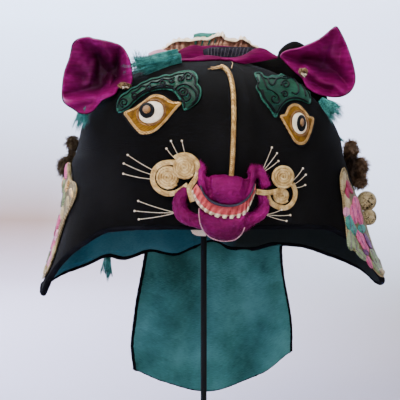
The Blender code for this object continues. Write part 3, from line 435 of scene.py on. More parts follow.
def sculpted(piece, move):
    """Moves each point of a piece by move(point) -> offset, both in millimetres."""
    offsets = [move(corner.co / MM, corner.normal) for corner in piece.data.vertices]
    for corner, offset in zip(piece.data.vertices, offsets):
        corner.co += offset * MM
    piece.data.update()
    return piece


def spline(stations, share, ring=False):
    """A smooth curve through rows of numbers at a share of its length; a ring is closed."""
    count = len(stations)
    place = (share % 1) * count if ring else min(max(share, 0), 1) * (count - 1)
    index = int(place) if ring else min(int(place), count - 2)
    t = place - index
    rows = [stations[(index + k) % count if ring else min(max(index + k, 0), count - 1)]
            for k in (-1, 0, 1, 2)]
    weights = (
        (-t**3 + 2 * t**2 - t) / 2, (3 * t**3 - 5 * t**2 + 2) / 2,
        (-3 * t**3 + 4 * t**2 + t) / 2, (t**3 - t**2) / 2,
    )
    return [sum(w * row[k] for w, row in zip(weights, rows)) for k in range(len(rows[0]))]


def mix(first, second, share):
    return first + (second - first) * share


def between(first, second, share):
    """The pixel at a share of the way from one pixel to another."""
    return mix(first[0], second[0], share), mix(first[1], second[1], share)


def bell(value, middle, width):
    return math.exp(-((value - middle) / width) ** 2)


def wobble(*place):
    """Smooth noise at a place, from about -1 to 1."""
    return noise.noise(Vector(place))


def turned(first, second, angle):
    """The way at an angle between two ways at right angles."""
    return first * math.cos(angle) + second * math.sin(angle)


def grid(lines, columns, place, ring=False):
    """Rows of place(down, across), with both running from 0 to 1."""
    last = columns if ring else columns + 1
    return [[place(i / lines, k / columns) for k in range(last)] for i in range(lines + 1)]


def quads(lines, count, start=0, wrap=False, closed=False):
    """Faces between rows of points; wrap closes each row, closed joins the last to the first."""
    faces = []
    for i in range(lines if closed else lines - 1):
        here, there = start + i * count, start + (i + 1) % lines * count
        for k in range(count if wrap else count - 1):
            n = (k + 1) % count
            faces.append((here + k, here + n, there + n, there + k))
    return faces


def tube(rings, sides, start=0, closed=False):
    """Faces of a tube, with flat ends unless it is closed."""
    faces = quads(rings, sides, start, True, closed)
    if not closed:
        for first in (start, start + (rings - 1) * sides):
            faces.append(tuple(range(first, first + sides)))
    return faces


def cloth_grid(name, rows, size, wrap=False):
    """A sheet from rows of points; size is the flat cloth's width and length in millimetres."""
    points = [point for row in rows for point in row]
    lines, count = len(rows), len(rows[0])
    maps = [(k / (count - 1) * size[0] * MM, i / (lines - 1) * size[1] * MM)
            for i in range(lines) for k in range(count)]
    return mesh_piece(name, points, quads(lines, count, wrap=wrap), maps)


def even_route(route, step):
    """A route of (point, out) pairs laid again at even steps."""
    lengths = [0]
    for (a, _), (b, _) in zip(route, route[1:]):
        lengths.append(lengths[-1] + (b - a).length)
    total = lengths[-1]
    count = max(2, round(total / step))
    laid = []
    index = 0
    for k in range(count + 1):
        goal = total * k / count
        while index < len(route) - 2 and lengths[index + 1] < goal:
            index += 1
        t = (goal - lengths[index]) / max(1e-6, lengths[index + 1] - lengths[index])
        point, out = (mix(a, b, t) for a, b in zip(route[index], route[index + 1]))
        laid.append((point, out.normalized()))
    return laid, total


def cord_shape(route, radius, step=0.8, sides=8, lobes=0, pitch=4, groove=0.16, flat=1,
               taper=0, closed=False):
    """Points and faces of a cord; with lobes its strands twist once in each pitch."""
    laid, total = even_route(route, step)
    if closed:
        laid = laid[:-1]
    count = len(laid)
    points = []
    for index, (point, out) in enumerate(laid):
        before = laid[index - 1 if closed else max(index - 1, 0)][0]
        after = laid[(index + 1) % count if closed else min(index + 1, count - 1)][0]
        along = (after - before).normalized()
        side = along.cross(out).normalized()
        up = side.cross(along)
        share = index / max(1, count - 1)
        thin = 1 - taper * share**2
        turn = math.tau * total * share / pitch
        for k in range(sides):
            angle = math.tau * k / sides
            reach = radius * thin
            if lobes:
                reach *= 1 + groove * (abs(math.cos(lobes * (angle - turn) / 2)) - 0.6)
            points.append(point + side * (reach * math.cos(angle)) + up * (flat * reach * math.sin(angle)))
    return points, tube(count, sides, closed=closed)


def cords(name, routes, radius, **settings):
    """One mesh of several cords."""
    points, faces = [], []
    for route in routes:
        more_points, more_faces = cord_shape(route, radius, **settings)
        start = len(points)
        points += more_points
        faces += [tuple(start + index for index in face) for face in more_faces]
    return mesh_piece(name, points, faces)


# %% [markdown]
# ## The crown's surface
# The crown is a dome over a flared skirt. A place on it has a bearing round the hat from the
# front seam, and a height above the table. These few curves give the same surface as the
# CAD model, and add what cloth does: a soft upright crease beside the seam, slack hollows,
# and small puckers where the hem is turned. Every sewn piece asks this surface where it lies.

# %% Crown curves
MIDDLE_X = 5
HALF_WIDTH = 102
FRONT_DEPTH = 96
BACK_DEPTH = 90
FRONT_SQUARENESS = 1.45
BACK_SQUARENESS = 2.15
FRONT_SPAN = 70
SEAM_ROUNDING = 7
SHOULDER_HEIGHT = 235
DOME_HEIGHT = 73
DOME_SQUARENESS = 2.35
RIGHT_DOME_SLACK = 0.55
SKIRT_FLARE = 1.15
SIDE_FLARE = 0.32
# Bearing, reach and height along the hem
HEM = [
    (-180, 90, 157), (-169, 90, 151), (-155, 92, 155), (-140, 97, 149.5),
    (-131, 101, 152.5), (-119, 112, 145), (-108, 125, 139), (-97, 131, 133),
    (-89, 131, 128), (-80, 126, 143), (-70, 114, 163), (-57, 97, 177),
    (-30, 85, 179), (0, 82, 179), (30, 85, 179), (55, 95, 178), (68, 113, 166),
    (78, 126, 150), (88, 140, 134), (95, 144, 131.5), (104, 140, 141),
    (114, 121, 153), (124, 106, 160), (135, 98, 161), (148, 92, 156),
    (158, 90, 156.5), (169, 90, 162.5),
]
CREASE_BEARING = 8.8
CREASE_PROUD = 1.1
SLACK = 0.55
PUCKER = 0.5
TEMPLE_BEARING = -93
TEMPLE_PROUD = 4.6


def wrapped(bearing):
    return (bearing + 180) % 360 - 180


def hem_at(bearing):
    """Reach and height of the hem at a bearing, without overshoot."""
    bearing = wrapped(bearing)
    count = len(HEM)
    last = max(k for k in range(count) if HEM[k][0] <= bearing)

    def row(index):
        turns, place = divmod(index, count)
        return (HEM[place][0] + 360 * turns, *HEM[place][1:])

    before, start, end, after = (row(last + k) for k in (-1, 0, 1, 2))
    width = end[0] - start[0]
    t = (bearing - start[0]) / width
    found = []
    for column in (1, 2):
        slopes = []
        for a, b, c in ((before, start, end), (start, end, after)):
            first = (b[column] - a[column]) / (b[0] - a[0])
            second = (c[column] - b[column]) / (c[0] - b[0])
            slopes.append(0 if first * second <= 0 else 2 * first * second / (first + second))
        found.append(
            (2 * t**3 - 3 * t**2 + 1) * start[column] + (t**3 - 2 * t**2 + t) * slopes[0] * width
            + (3 * t**2 - 2 * t**3) * end[column] + (t**3 - t**2) * slopes[1] * width
        )
    return found


def plan_reach(bearing):
    angle = math.radians(bearing)
    across = abs(math.sin(angle)) / HALF_WIDTH
    along = abs(math.cos(angle)) / (FRONT_DEPTH if math.cos(angle) > 0 else BACK_DEPTH)
    turn = min(1, abs(wrapped(bearing)) / FRONT_SPAN)
    turn = turn * turn * (3 - 2 * turn)
    power = mix(FRONT_SQUARENESS, BACK_SQUARENESS, turn)
    return (across**power + along**power) ** (-1 / power)


def shoulder_reach(bearing):
    samples = (bearing - SEAM_ROUNDING, bearing, bearing + SEAM_ROUNDING)
    return sum(plan_reach(sample) for sample in samples) / 3


def dome_power(bearing):
    return DOME_SQUARENESS - RIGHT_DOME_SLACK * max(0, math.sin(math.radians(bearing))) ** 2


def cloth_ease(bearing, rise):
    """How far the cloth stands off its plain shape."""
    turn = math.radians(bearing)
    upright = max(0, min(1, (rise + 0.05) / 0.3)) * max(0, min(1, (0.93 - rise) / 0.25))
    crease = CREASE_PROUD * bell(bearing, CREASE_BEARING + 1.2 * rise, 1.7) * upright
    hollow = wobble(2.3 * math.sin(turn), 2.3 * math.cos(turn), 1.9 * rise)
    flare = max(0, -rise)
    fold = PUCKER * flare**2 * math.sin(bearing * 0.31 + 2 * hollow)
    fade = max(0, min(1, (1 - rise) / 0.2))
    temple = TEMPLE_PROUD * bell(wrapped(bearing), TEMPLE_BEARING, 24)
    temple *= bell(rise, -0.06, 0.07 if rise > -0.06 else 0.15)
    return (crease + SLACK * hollow + fold) * fade + temple


def crown_point(bearing, rise):
    """Rise runs from 1 at the top, by 0 at the shoulder, to -1 at the hem."""
    reach = shoulder_reach(bearing)
    if rise >= 0:
        power = 2 / dome_power(bearing)
        lean = rise * math.pi / 2
        reach *= max(0, math.cos(lean)) ** power
        height = SHOULDER_HEIGHT + DOME_HEIGHT * math.sin(lean) ** power
    else:
        hem_reach, hem_height = hem_at(bearing)
        flare = SKIRT_FLARE - SIDE_FLARE * math.sin(math.radians(bearing))
        reach += (hem_reach - reach) * (-rise) ** flare
        height = SHOULDER_HEIGHT + (SHOULDER_HEIGHT - hem_height) * rise
    angle = math.radians(bearing)
    return Vector((MIDDLE_X + reach * math.sin(angle), -reach * math.cos(angle), height))


def crown_out(bearing, rise):
    """The crown's outward direction."""
    if rise > 0.97:
        return UP.copy()
    round_way = crown_point(bearing + 1.5, rise) - crown_point(bearing - 1.5, rise)
    up_way = crown_point(bearing, rise + 0.02) - crown_point(bearing, rise - 0.02)
    return round_way.cross(up_way).normalized()


def cloth_point(bearing, rise, lift=0):
    """A point at a lift above the eased cloth."""
    out = crown_out(bearing, rise)
    return crown_point(bearing, rise) + out * (lift + cloth_ease(bearing, rise)), out


def rise_at(bearing, height):
    if height >= SHOULDER_HEIGHT:
        share = min(1, (height - SHOULDER_HEIGHT) / DOME_HEIGHT)
        return math.asin(share ** (dome_power(bearing) / 2)) / (math.pi / 2)
    return -(SHOULDER_HEIGHT - height) / (SHOULDER_HEIGHT - hem_at(bearing)[1])


def on_crown(bearing, height, lift=0):
    return cloth_point(bearing, rise_at(bearing, height), lift)


# %% [markdown]
# ## The crown's cloth
# One sheet of black cotton, closed at the top, with its turned edge hidden in the hem binding.
# It is made as a fine grid of the curves above and given its thickness by Solidify, as real
# cloth and its backing would have. A narrow ridge runs down the front where two halves meet.

# %% Crown
CROWN_COLUMNS = 264
CROWN_ROWS = 72
CROWN_WALL = 1.6
HEM_TURN = 3
SEAM_RIDGE = 0.5
GUIDE_DROP = 34
# Distances from the eye that are tried where a line of sight misses the cloth
SEARCH = range(700, 900, 8)


def hem_rise(bearing, above):
    return rise_at(bearing, hem_at(bearing)[1] + above)


def shell(columns, row_count, lift, above):
    """Rows of points from the top to the hem, at a lift."""
    rows = []
    for i in range(row_count):
        share = i / (row_count - 1)
        row = []
        for k in range(columns):
            bearing = -180 + 360 * k / columns
            rise = mix(0.985, hem_rise(bearing, above), share)
            ridge = SEAM_RIDGE * bell(abs(wrapped(bearing)), 0, 0.8) * (lift > -1)
            row.append(cloth_point(bearing, rise, lift + ridge)[0])
        rows.append(row)
    return rows


def closed_top(rows, height):
    """Draws the first row in to one point above the middle."""
    top = Vector((MIDDLE_X, 0, height))
    inner = [[mix(top, point, share) for point in rows[0]] for share in (0, 0.5)]
    for row in inner:
        for point, edge in zip(row, rows[0]):
            point.z = mix(height, edge.z, (point - top).length / max(1e-6, (edge - top).length))
    return inner + rows


def hood(name, columns, row_count, lift, above, size):
    """A sheet over the whole crown, at a lift, that ends a little above the hem."""
    rows = closed_top(shell(columns, row_count, lift, above), SHOULDER_HEIGHT + DOME_HEIGHT + lift)
    return cloth_grid(name, rows, size, wrap=True)


def tree_of(piece):
    return BVHTree.FromObject(piece, bpy.context.evaluated_depsgraph_get())


crown = hood("crown_cloth", CROWN_COLUMNS, CROWN_ROWS, 0, HEM_TURN, (640, 210))
outside = tree_of(crown)
# The guide runs on below the hem, so that pieces at the hem find a place too
guide = hood("guide", CROWN_COLUMNS // 2, CROWN_ROWS, 0, -GUIDE_DROP, (1, 1))
carried_on = tree_of(guide)
bpy.data.objects.remove(guide)
modified(walled(crown, CROWN_WALL, -1), "WELD", merge_threshold=DOUBLE)
shown(crown, BLACK, "black_cloth", "crown")
print("crown", len(crown.data.polygons), "faces")


def flat_area(piece):
    """Half the surface of a thin closed sheet, in square metres."""
    return sum(face.area for face in piece.data.polygons) / 2


def hat_place(px, py):
    """Bearing and height where the line of sight through a pixel meets the cloth."""
    hit = carried_on.ray_cast(EYE * MM, sight(px, py))[0]
    if hit is None:
        steps = [(EYE + sight(px, py) * depth) * MM for depth in SEARCH]
        hit = min((carried_on.find_nearest(step) for step in steps), key=lambda near: near[3])[0]
    spot = hit / MM
    return math.degrees(math.atan2(spot.x - MIDDLE_X, -spot.y)), spot.z


def on_hat(px, py, lift=0):
    """Point and outward direction of what is seen at a pixel, at a lift above the cloth.

    A line of sight that misses the cloth takes the place on it that it passes nearest."""
    aim_x, aim_y = px, py
    for _ in range(3):
        point, out = on_crown(*hat_place(aim_x, aim_y), lift)
        seen_x, seen_y = pixel_of(point)
        aim_x += px - seen_x
        aim_y += py - seen_y
    return point, out


def laid_route(pixels, lift, count=60, closed=False, lay=on_hat):
    """A smooth route over the cloth through a few pixels."""
    return [lay(*spline(pixels, k / count, closed), lift) for k in range(count + 1)]


print("cheek lies at", [round(value) for value in on_hat(167, 176)[0]])

# %% [markdown]
# ## The lining and the hem
# The teal cotton lies inside the black shell, and shows below the front hem because the back
# of the hat hangs lower. A narrow black strip is rolled over both edges all the way round.

# %% Lining and hem binding
LINING_COLUMNS = 150
LINING_ROWS = 40
LINING_DEPTH = 2.2
LINING_WALL = 0.8
BINDING_RADIUS = 2
BINDING_STEP = 1.2

lining = hood("lining_cloth", LINING_COLUMNS, LINING_ROWS, -LINING_DEPTH, HEM_TURN, (630, 205))
modified(walled(lining, LINING_WALL, -1), "WELD", merge_threshold=DOUBLE)
shown(lining, TEAL, "lining_cloth", "lining")

hem_route = []
for k in range(361):
    bearing = -180 + k
    rise = hem_rise(bearing, BINDING_RADIUS * 0.9)
    hem_route.append(cloth_point(bearing, rise, -CROWN_WALL * 0.8))
binding = cords("hem_binding_roll", [hem_route], BINDING_RADIUS, step=BINDING_STEP, sides=12,
                flat=1.15, closed=True)
sculpted(binding, lambda point, out: out * (0.28 * noise.noise(point * 0.25)))
shown(binding, BINDING, "black_cloth", "hem_binding")
print("lining", round(flat_area(lining), 4), "square metres")

# %% [markdown]
# ## The neck flap
# A loose panel hangs from the back hem to keep the neck warm. It is teal towards the face and
# black behind, with a rolled black strip down its sides and along its bottom. The cloth was
# folded for years, so it keeps faint level creases and soft ripples.

# %% Neck flap
FLAP_START = -153
FLAP_END = -228
FLAP_TOP_Y = 72
FLAP_COLUMNS = 70
FLAP_LINES = 80
# Drop, left side, right side and distance behind the rod
FLAP_ROWS = [
    (0.00, -38, 76, 84), (0.20, -40, 81, 86), (0.40, -43.5, 85, 90), (0.60, -46, 89, 92),
    (0.80, -48, 91.5, 93.5), (1.00, -46, 92, 94),
]
# Height of the bottom edge at even steps from left to right
FLAP_BOTTOM = [(53,), (43,), (34.5,), (36.5,), (48.5,), (65,)]


def flap_point(across, drop, lift=0):
    """A point of the flap, across from left to right and down from the hem."""
    _, left, right, back = spline(FLAP_ROWS, drop)
    bearing = mix(FLAP_START, FLAP_END, across)
    edge, out = cloth_point(bearing, -1, -2.2)
    arc = math.sin(across * math.pi)
    corner = 1 - min(1, 6 * min(across, 1 - across))
    bottom = spline(FLAP_BOTTOM, across)[0] + 2 * corner**2
    wave = 2.2 * math.sin(6 * math.pi * across + 1.2 * drop)
    wave += 1.5 * drop * math.sin(15 * across + 5 * drop)
    crease = 0.5 * sum(bell(drop, level, 0.012) for level in (0.33, 0.47, 0.64, 0.81))
    rumple = 0.9 * wobble(5 * across, 6 * drop, 3)
    hanging = Vector((mix(left, right, across), mix(FLAP_TOP_Y, back, 0.6 + 0.4 * arc), 0))
    hanging.y += (wave + rumple) * min(1, 4 * drop) + crease - lift
    hanging.z = mix(edge.z + 1, bottom, drop)
    loose = min(1, 3 * drop)
    loose = loose * loose * (3 - 2 * loose)
    return mix(edge - out * lift + UP * 1, hanging, loose)


def flap_sheet(name, lift, wall, look, slot, node):
    rows = grid(FLAP_LINES, FLAP_COLUMNS, lambda drop, across: flap_point(across, drop, lift))
    return shown(walled(cloth_grid(name, rows, (135, 118)), wall), look, slot, node)


flap_outer = flap_sheet("neck_flap_cloth", -0.7, 0.9, BLACK, "black_cloth", "neck_flap")
flap_inner = flap_sheet("neck_flap_lining_cloth", 0.6, 0.7, FADED, "lining_cloth", "neck_flap_lining")
side_edges = [[(flap_point(across, 0.04 + 0.96 * k / 40), -AHEAD) for k in range(41)]
              for across in (0, 1)]
low_edge = [(flap_point(k / 80, 1), -AHEAD) for k in range(81)]
flap_binding = merged("neck_flap_binding_roll", [
    cords("side_binding", side_edges, 1.5, step=1.2, sides=10, flat=0.9),
    cords("low_binding", [low_edge], 0.85, step=1.2, sides=10),
])
sculpted(flap_binding, lambda point, out: out * (0.3 * noise.noise(point * 0.3)))
shown(flap_binding, BINDING, "black_cloth", "neck_flap_binding")
print("neck flap", round(flat_area(flap_outer), 4), "square metres")

# %% [markdown]
# ## Light and backdrop
# The photograph has soft window light from the upper left and no hard shadow. Three large area lights and a
# pale world give that, and a floor that curves up into a wall leaves no line behind the hat. The wall's
# colour carries painted light and shade, as in the picture: cool white higher up, a painted shadow of warm
# dark grey across the left at middle height, and a darker warm grey low on the right.

# %% Stage
ROOM_RADIUS = 2.4
ROOM_HEIGHT = 2.6
ROOM_CORNER = 0.7
# How much height and depth count on the way up the wall, and depth on the way across
WALL_CLIMB = (0.657, 0.149)
WALL_SLANT = -0.158
WALL_HALF = 0.456

bpy.ops.mesh.primitive_circle_add(vertices=96, radius=ROOM_RADIUS, fill_type="NGON")
floor = bpy.context.object
floor.name = "floor_and_wall"
bpy.ops.object.mode_set(mode="EDIT")
bpy.ops.mesh.select_all(action="SELECT")
bpy.ops.mesh.region_to_loop()
bpy.ops.mesh.extrude_region_move(TRANSFORM_OT_translate={"value": (0, 0, ROOM_HEIGHT)})
bpy.ops.mesh.select_all(action="SELECT")
bpy.ops.mesh.normals_make_consistent(inside=True)
bpy.ops.object.mode_set(mode="OBJECT")
modified(floor, "BEVEL", width=ROOM_CORNER, segments=20, limit_method="ANGLE", angle_limit=math.radians(60))
floor.data.shade_smooth()

wall_look, wall_tree, wall_shader, wall_place = new_look("pale_wall", 0.9)
wall_parts = add_node(wall_tree, "ShaderNodeSeparateXYZ", [("Vector", wall_place)]).outputs
depth_of_wall = math_of(wall_tree, "ABSOLUTE", wall_parts["Y"], 0)
climb = summed(wall_tree, wall_parts["Z"], WALL_CLIMB[0], depth_of_wall, WALL_CLIMB[1])
across = summed(wall_tree, wall_parts["X"], 1, wall_parts["Y"], WALL_SLANT)
# Painted light and shade: the ramps make the wall cool white higher up, paint a warm shadow across the left
# at middle height, and darken it warm low on the right
left_painted_light = ramp(wall_tree, climb, [(0.05, (0.64, 0.62, 0.84)), (0.41, (0.20, 0.135, 0.115)),
                                    (0.86, (0.66, 0.79, 1))])
right_painted_light = ramp(wall_tree, climb, [(0.05, (0.12, 0.09, 0.05)), (0.41, (0.46, 0.48, 0.55)),
                                     (0.86, (0.70, 0.77, 0.95))])
wall_painted_light = blended(wall_tree, span(wall_tree, across, -WALL_HALF, WALL_HALF), left_painted_light,
                      right_painted_light)
wall_tree.links.new(wall_painted_light, wall_shader.inputs["Base Color"])
floor.data.materials.append(wall_look)

LIGHTS = [
    # Name, place, aimed at, size, power, colour
    ("window_light", (-1.1, -1.3, 1.5), (0, 0, 0.22), 0.9, 46, (1, 0.985, 0.96)),
    ("right_light", (1.5, -0.9, 0.9), (0, 0, 0.2), 1.2, 8, (1, 0.96, 0.9)),
    ("front_light", (0.3, -1.5, 0.16), (0, 0, 0.22), 0.9, 9, (1, 0.97, 0.92)),
    ("top_light", (0.1, 0.4, 1.7), (0, 0, 0.25), 1, 5, (0.97, 0.98, 1)),
    ("wall_light", (-0.5, 1, 2.2), (0.2, 2.4, 0.5), 1.4, 225, (0.93, 0.95, 1)),
]
for name, place, target, size, power, colour in LIGHTS:
    aim = Vector(target) - Vector(place)
    bpy.ops.object.light_add(type="AREA", location=place, rotation=aim.to_track_quat("-Z", "Y").to_euler())
    lamp = bpy.context.object
    lamp.name = name
    lamp.data.size = size
    lamp.data.energy = power
    lamp.data.color = colour

world = bpy.data.worlds.new("room")
bpy.context.scene.world = world
world.use_nodes = True
background = world.node_tree.nodes["Background"]
background.inputs["Color"].default_value = (0.95, 0.95, 1, 1)
background.inputs["Strength"].default_value = 0.14
print(len(LIGHTS), "lights")

# %% [markdown]
# ## Pads sewn on the cloth
# Brows, eyes and bands are pads: flat underneath, domed on top, and cut to an outline. A long
# pad is made between a top edge and a low edge, a round one in rings about its middle. Both
# outlines are given in pixels, laid on the cloth, and lifted off it by the pad's thickness.

# %% Pad helpers
def on_piece(tree, px, py, lift=0):
    """Point and outward direction where a line of sight meets a piece, or else the cloth."""
    hit, out, _, _ = tree.ray_cast(EYE * MM, sight(px, py))
    if hit is None:
        return on_hat(px, py, lift)
    out = -out if out.dot(sight(px, py)) > 0 else out
    return hit / MM + out * lift, out


def route_on(tree, pixels, lift, count=50, closed=False):
    return laid_route(pixels, lift, count, closed, lambda px, py, up: on_piece(tree, px, py, up))


def closed_pad(name, tops, unders, ring=False):
    """A closed mesh between an upper and a lower grid of the same size."""
    lines, count = len(tops), len(tops[0])
    points = [point for layer in (tops, unders) for row in layer for point in row]
    below = lines * count
    faces = quads(lines, count, wrap=ring) + [face[::-1] for face in quads(lines, count, below, ring)]
    rim = [i * count + k for i, k in (
        [(lines - 1, k) for k in range(count)] if ring else
        [(0, k) for k in range(count)] + [(i, count - 1) for i in range(1, lines)]
        + [(lines - 1, k) for k in range(count - 2, -1, -1)] + [(i, 0) for i in range(lines - 2, 0, -1)]
    )]
    for here, there in zip(rim, rim[1:] + rim[:1]):
        faces.append((here, there, there + below, here + below))
    piece = mesh_piece(name, points, faces)
    if ring:
        modified(piece, "WELD", merge_threshold=DOUBLE)
    return piece


def pad_of(name, lines, columns, seen, under, lay, ring=False):
    """A pad from a grid of pixels, each with the lift of the pad's top."""
    cells = grid(lines, columns, seen, ring)
    tops = [[lay(*cell)[0] for cell in row] for row in cells]
    unders = [[lay(px, py, under)[0] for px, py, _ in row] for row in cells]
    return closed_pad(name, tops, unders, ring)


def long_pad(name, top, low, under, over, columns=60, lines=12, edge=0.35, ease=0, lay=on_hat):
    """A pad between a top and a low edge, given as rows of pixels."""
    def seen(down, along):
        swell = edge + (1 - edge) * math.sin(math.pi * down) ** 0.6
        end = min(1, 8 * min(along, 1 - along) + 0.4)
        px, py = between(spline(top, along), spline(low, along), down)
        puff = ease * wobble(px * 0.11, py * 0.11, 0)
        return px, py, under + (over - under) * swell * end + puff

    return pad_of(name, lines, columns, seen, under, lay)


def round_pad(name, outline, middle, under, over, rings=8, corners=48, edge=0.35, lay=on_hat):
    """A pad in rings about its middle, inside an outline of pixels."""
    def seen(outwards, turn):
        reach = max(0.02, outwards)
        swell = edge + (1 - edge) * math.sqrt(max(0, 1 - reach**2.4))
        px, py = between(middle, spline(outline, turn, True), reach)
        return px, py, under + (over - under) * swell

    return pad_of(name, rings, corners, seen, under, lay, ring=True)


STRAND_SIDES = 3
# A way that no strand runs along, to turn its section from
ASKEW = Vector((0.31, -0.9, 0.3))


def strands(name, routes, radius, taper=0.85):
    """Many fine strands, each a list of points, as one mesh."""
    points, faces = [], []
    for route in routes:
        faces += tube(len(route), STRAND_SIDES, len(points))
        for index, point in enumerate(route):
            before, after = route[max(index - 1, 0)], route[min(index + 1, len(route) - 1)]
            along = (after - before).normalized()
            side = along.cross(ASKEW).normalized()
            up = side.cross(along)
            thin = radius * (1 - taper * (index / (len(route) - 1)) ** 2)
            for k in range(STRAND_SIDES):
                points.append(point + turned(side, up, math.tau * k / STRAND_SIDES) * thin)
    return mesh_piece(name, points, faces)


def anywhere():
    """An even random direction."""
    z = chance.uniform(-1, 1)
    angle = chance.uniform(0, math.tau)
    flat = math.sqrt(1 - z * z)
    return Vector((flat * math.cos(angle), flat * math.sin(angle), z))


def oval(middle, half, turn=0, count=16):
    """Pixels round an ellipse."""
    lean = math.radians(turn)
    pixels = []
    for k in range(count):
        angle = math.tau * k / count
        x, y = half[0] * math.cos(angle), half[1] * math.sin(angle)
        pixels.append((middle[0] + x * math.cos(lean) - y * math.sin(lean),
                       middle[1] + x * math.sin(lean) + y * math.cos(lean)))
    return pixels


def scroll(middle, wide, narrow, turns, start, squash=1):
    """Pixels along a spiral from its wide end to its narrow end."""
    count = max(8, round(14 * abs(turns)))
    pixels = []
    for k in range(count + 1):
        share = k / count
        angle = math.radians(start) + math.tau * turns * share
        reach = mix(wide, narrow, share)
        pixels.append((middle[0] + reach * math.cos(angle) * squash, middle[1] + reach * math.sin(angle)))
    return pixels


def lower_half(pixels, share, other):
    """Pixels part of the way from one edge to another with as many stations."""
    last = len(pixels) - 1
    return [between(pixel, spline(other, k / last), share) for k, pixel in enumerate(pixels)]


def inset(outline, middle, share):
    return [between(pixel, middle, share) for pixel in outline]


# %% [markdown]
# ## The centre cord
# A cord wound with gold thread covers the seam from the crown to the nose, and its frayed end
# turns aside at the top. It is one round cord whose lobed section twists, so that the light
# catches each winding.

# %% Centre cord
CORD_RADIUS = 1.7
CORD_PIXELS = [
    (221.6, 66.4), (226.5, 69.8), (230.3, 76.5), (232.4, 86), (233.4, 96), (233.8, 115),
    (233.6, 128), (233.2, 142), (232.5, 159), (231.2, 177.5),
]
CORD_LIFT = 1.5
cord_route = laid_route(CORD_PIXELS, CORD_LIFT, 80)
centre_cord = cords("centre_cord", [cord_route], CORD_RADIUS, step=0.45, sides=20, lobes=4,
                    pitch=4.6, groove=0.28)
FRAY_PIXELS = [
    [(222.5, 66.8), (218, 67), (213, 68.2), (207.5, 69)],
    [(222.5, 66.8), (219, 66), (214.5, 67), (210.5, 67)],
    [(222.5, 67.2), (218, 68.4), (214, 69), (211.5, 69.8)],
    [(231.6, 68.5), (232, 66), (232.8, 63.5), (232.2, 61.5)],
]
frayed = cords("centre_cord_fray", [laid_route(row, 1, 16) for row in FRAY_PIXELS], 0.4,
               step=0.6, sides=6, taper=0.6)
shown(merged("centre_cord", [centre_cord, frayed]), GOLD, "gold_braid", "seam_cord")
seam_edges = []
for shift in (-3.2, 3):
    seam_edges.append(laid_route([(x + shift, y) for x, y in CORD_PIXELS[2:]], 0.3, 60))
shown(cords("centre_seam_edges", seam_edges, 0.45, step=1.5, sides=6), BINDING, "black_cloth")
print("centre cord", round(even_route(cord_route, 1)[1]), "mm")

# %% [markdown]
# ## The eyes
# Each eye is a padded field of gold silk inside a couched gold outline. On it lie a white
# disc, a black ring off its middle so that the tiger looks at something, and a tan bead.

# %% Eyes
EYES = {
    "left": {
        "outline": [
            (124.2, 112.7), (132.9, 109), (141.8, 102.9), (150.7, 96.2), (157.4, 94.8),
            (163.2, 96.2), (168.6, 99.7), (174, 102.4), (181.5, 102.9), (177.5, 107.3),
            (168.6, 118), (161.9, 125.2), (155.2, 131), (149.8, 133.4), (144, 134.1),
            (140, 133.2), (135, 128.3), (130.6, 122.9), (127, 117.6),
        ],
        "middle": (150, 113.5), "white": ((151.2, 112.4), (13.4, 10.8), -28),
        "ring": ((147.1, 110.4), (7.9, 7.9)), "bead": ((146.6, 109.4), (4.2, 4.3)),
    },
    "right": {
        "outline": [
            (280.4, 116), (285, 114.3), (288.2, 107.6), (292, 104.4), (296, 104),
            (300.2, 106), (305.4, 111.6), (309.2, 116.6), (313.4, 118.4), (312.4, 126),
            (309.4, 135.6), (305.4, 142.8), (299.8, 144.6), (295, 141.8), (291.2, 135.8),
            (286.6, 127.6), (283.2, 121.6),
        ],
        "middle": (297.5, 124), "white": ((299.4, 123.4), (7.5, 11.2), -10),
        "ring": ((301.4, 123.2), (4.8, 8.4)), "bead": ((302.2, 122.4), (2.1, 4.3)),
    },
}
FIELD_LIFT = (0.3, 2.6)
WHITE_LIFT = (1.6, 3.3)
RING_LIFT = (2.6, 4.3)
BEAD_LIFT = (3.4, 5.7)

for side, eye in EYES.items():
    field = round_pad(f"eye_field_{side}_pad", eye["outline"], eye["middle"], *FIELD_LIFT, rings=10,
                      corners=76, edge=0.45)
    seat = tree_of(field)
    shown(field, AMBER, "gold_braid", f"eye_field_{side}")
    border = []
    for share, lift in ((0.02, 0.1), (0.085, 0)):
        border.append(route_on(seat, inset(eye["outline"], eye["middle"], share), lift, 110, closed=True))
    shown(cords(f"eye_border_{side}", border, 0.5, step=0.4, sides=12, lobes=3, pitch=2, groove=0.3,
                closed=True), GOLD, "gold_braid")
    seam = [laid_route(inset(eye["outline"], eye["middle"], -0.055), 0.5, 90, closed=True)]
    shown(cords(f"eye_edge_{side}", seam, 0.7, step=0.9, closed=True), BLACK_CORD, "black_cloth")
    middle, half, lean = eye["white"]
    white = round_pad(f"eye_white_{side}_pad", oval(middle, half, lean), middle, *WHITE_LIFT, edge=0.4)
    shown(white, WHITE, "white_cloth", f"eye_white_{side}")
    lid = [laid_route(oval(middle, (half[0] + 1.3, half[1] + 1.2), lean), 2.3, 60, closed=True)]
    shown(cords(f"eye_lid_{side}", lid, 0.5, step=0.6, sides=8, lobes=2, pitch=1.8, closed=True),
          TAN, "gold_braid")
    middle, half = eye["ring"]
    ring = round_pad(f"eye_ring_{side}_pad", oval(middle, half), middle, *RING_LIFT, edge=0.3)
    shown(ring, BLACK_CORD, "black_cloth", f"eye_iris_{side}")
    middle, half = eye["bead"]
    bead = round_pad(f"eye_bead_{side}_pad", oval(middle, half), middle, *BEAD_LIFT, edge=0.2)
    shown(bead, TAN, "tan_bead", f"eye_bead_{side}")
print("eyes are on")

# %% [markdown]
# ## The brows
# A brow is a cloud of green satin over wadding, with a lighter cord couched round its scalloped
# edge and black cord laid in scrolls. The scrolls are spirals drawn on the pad itself, so
# they rise and fall with it.

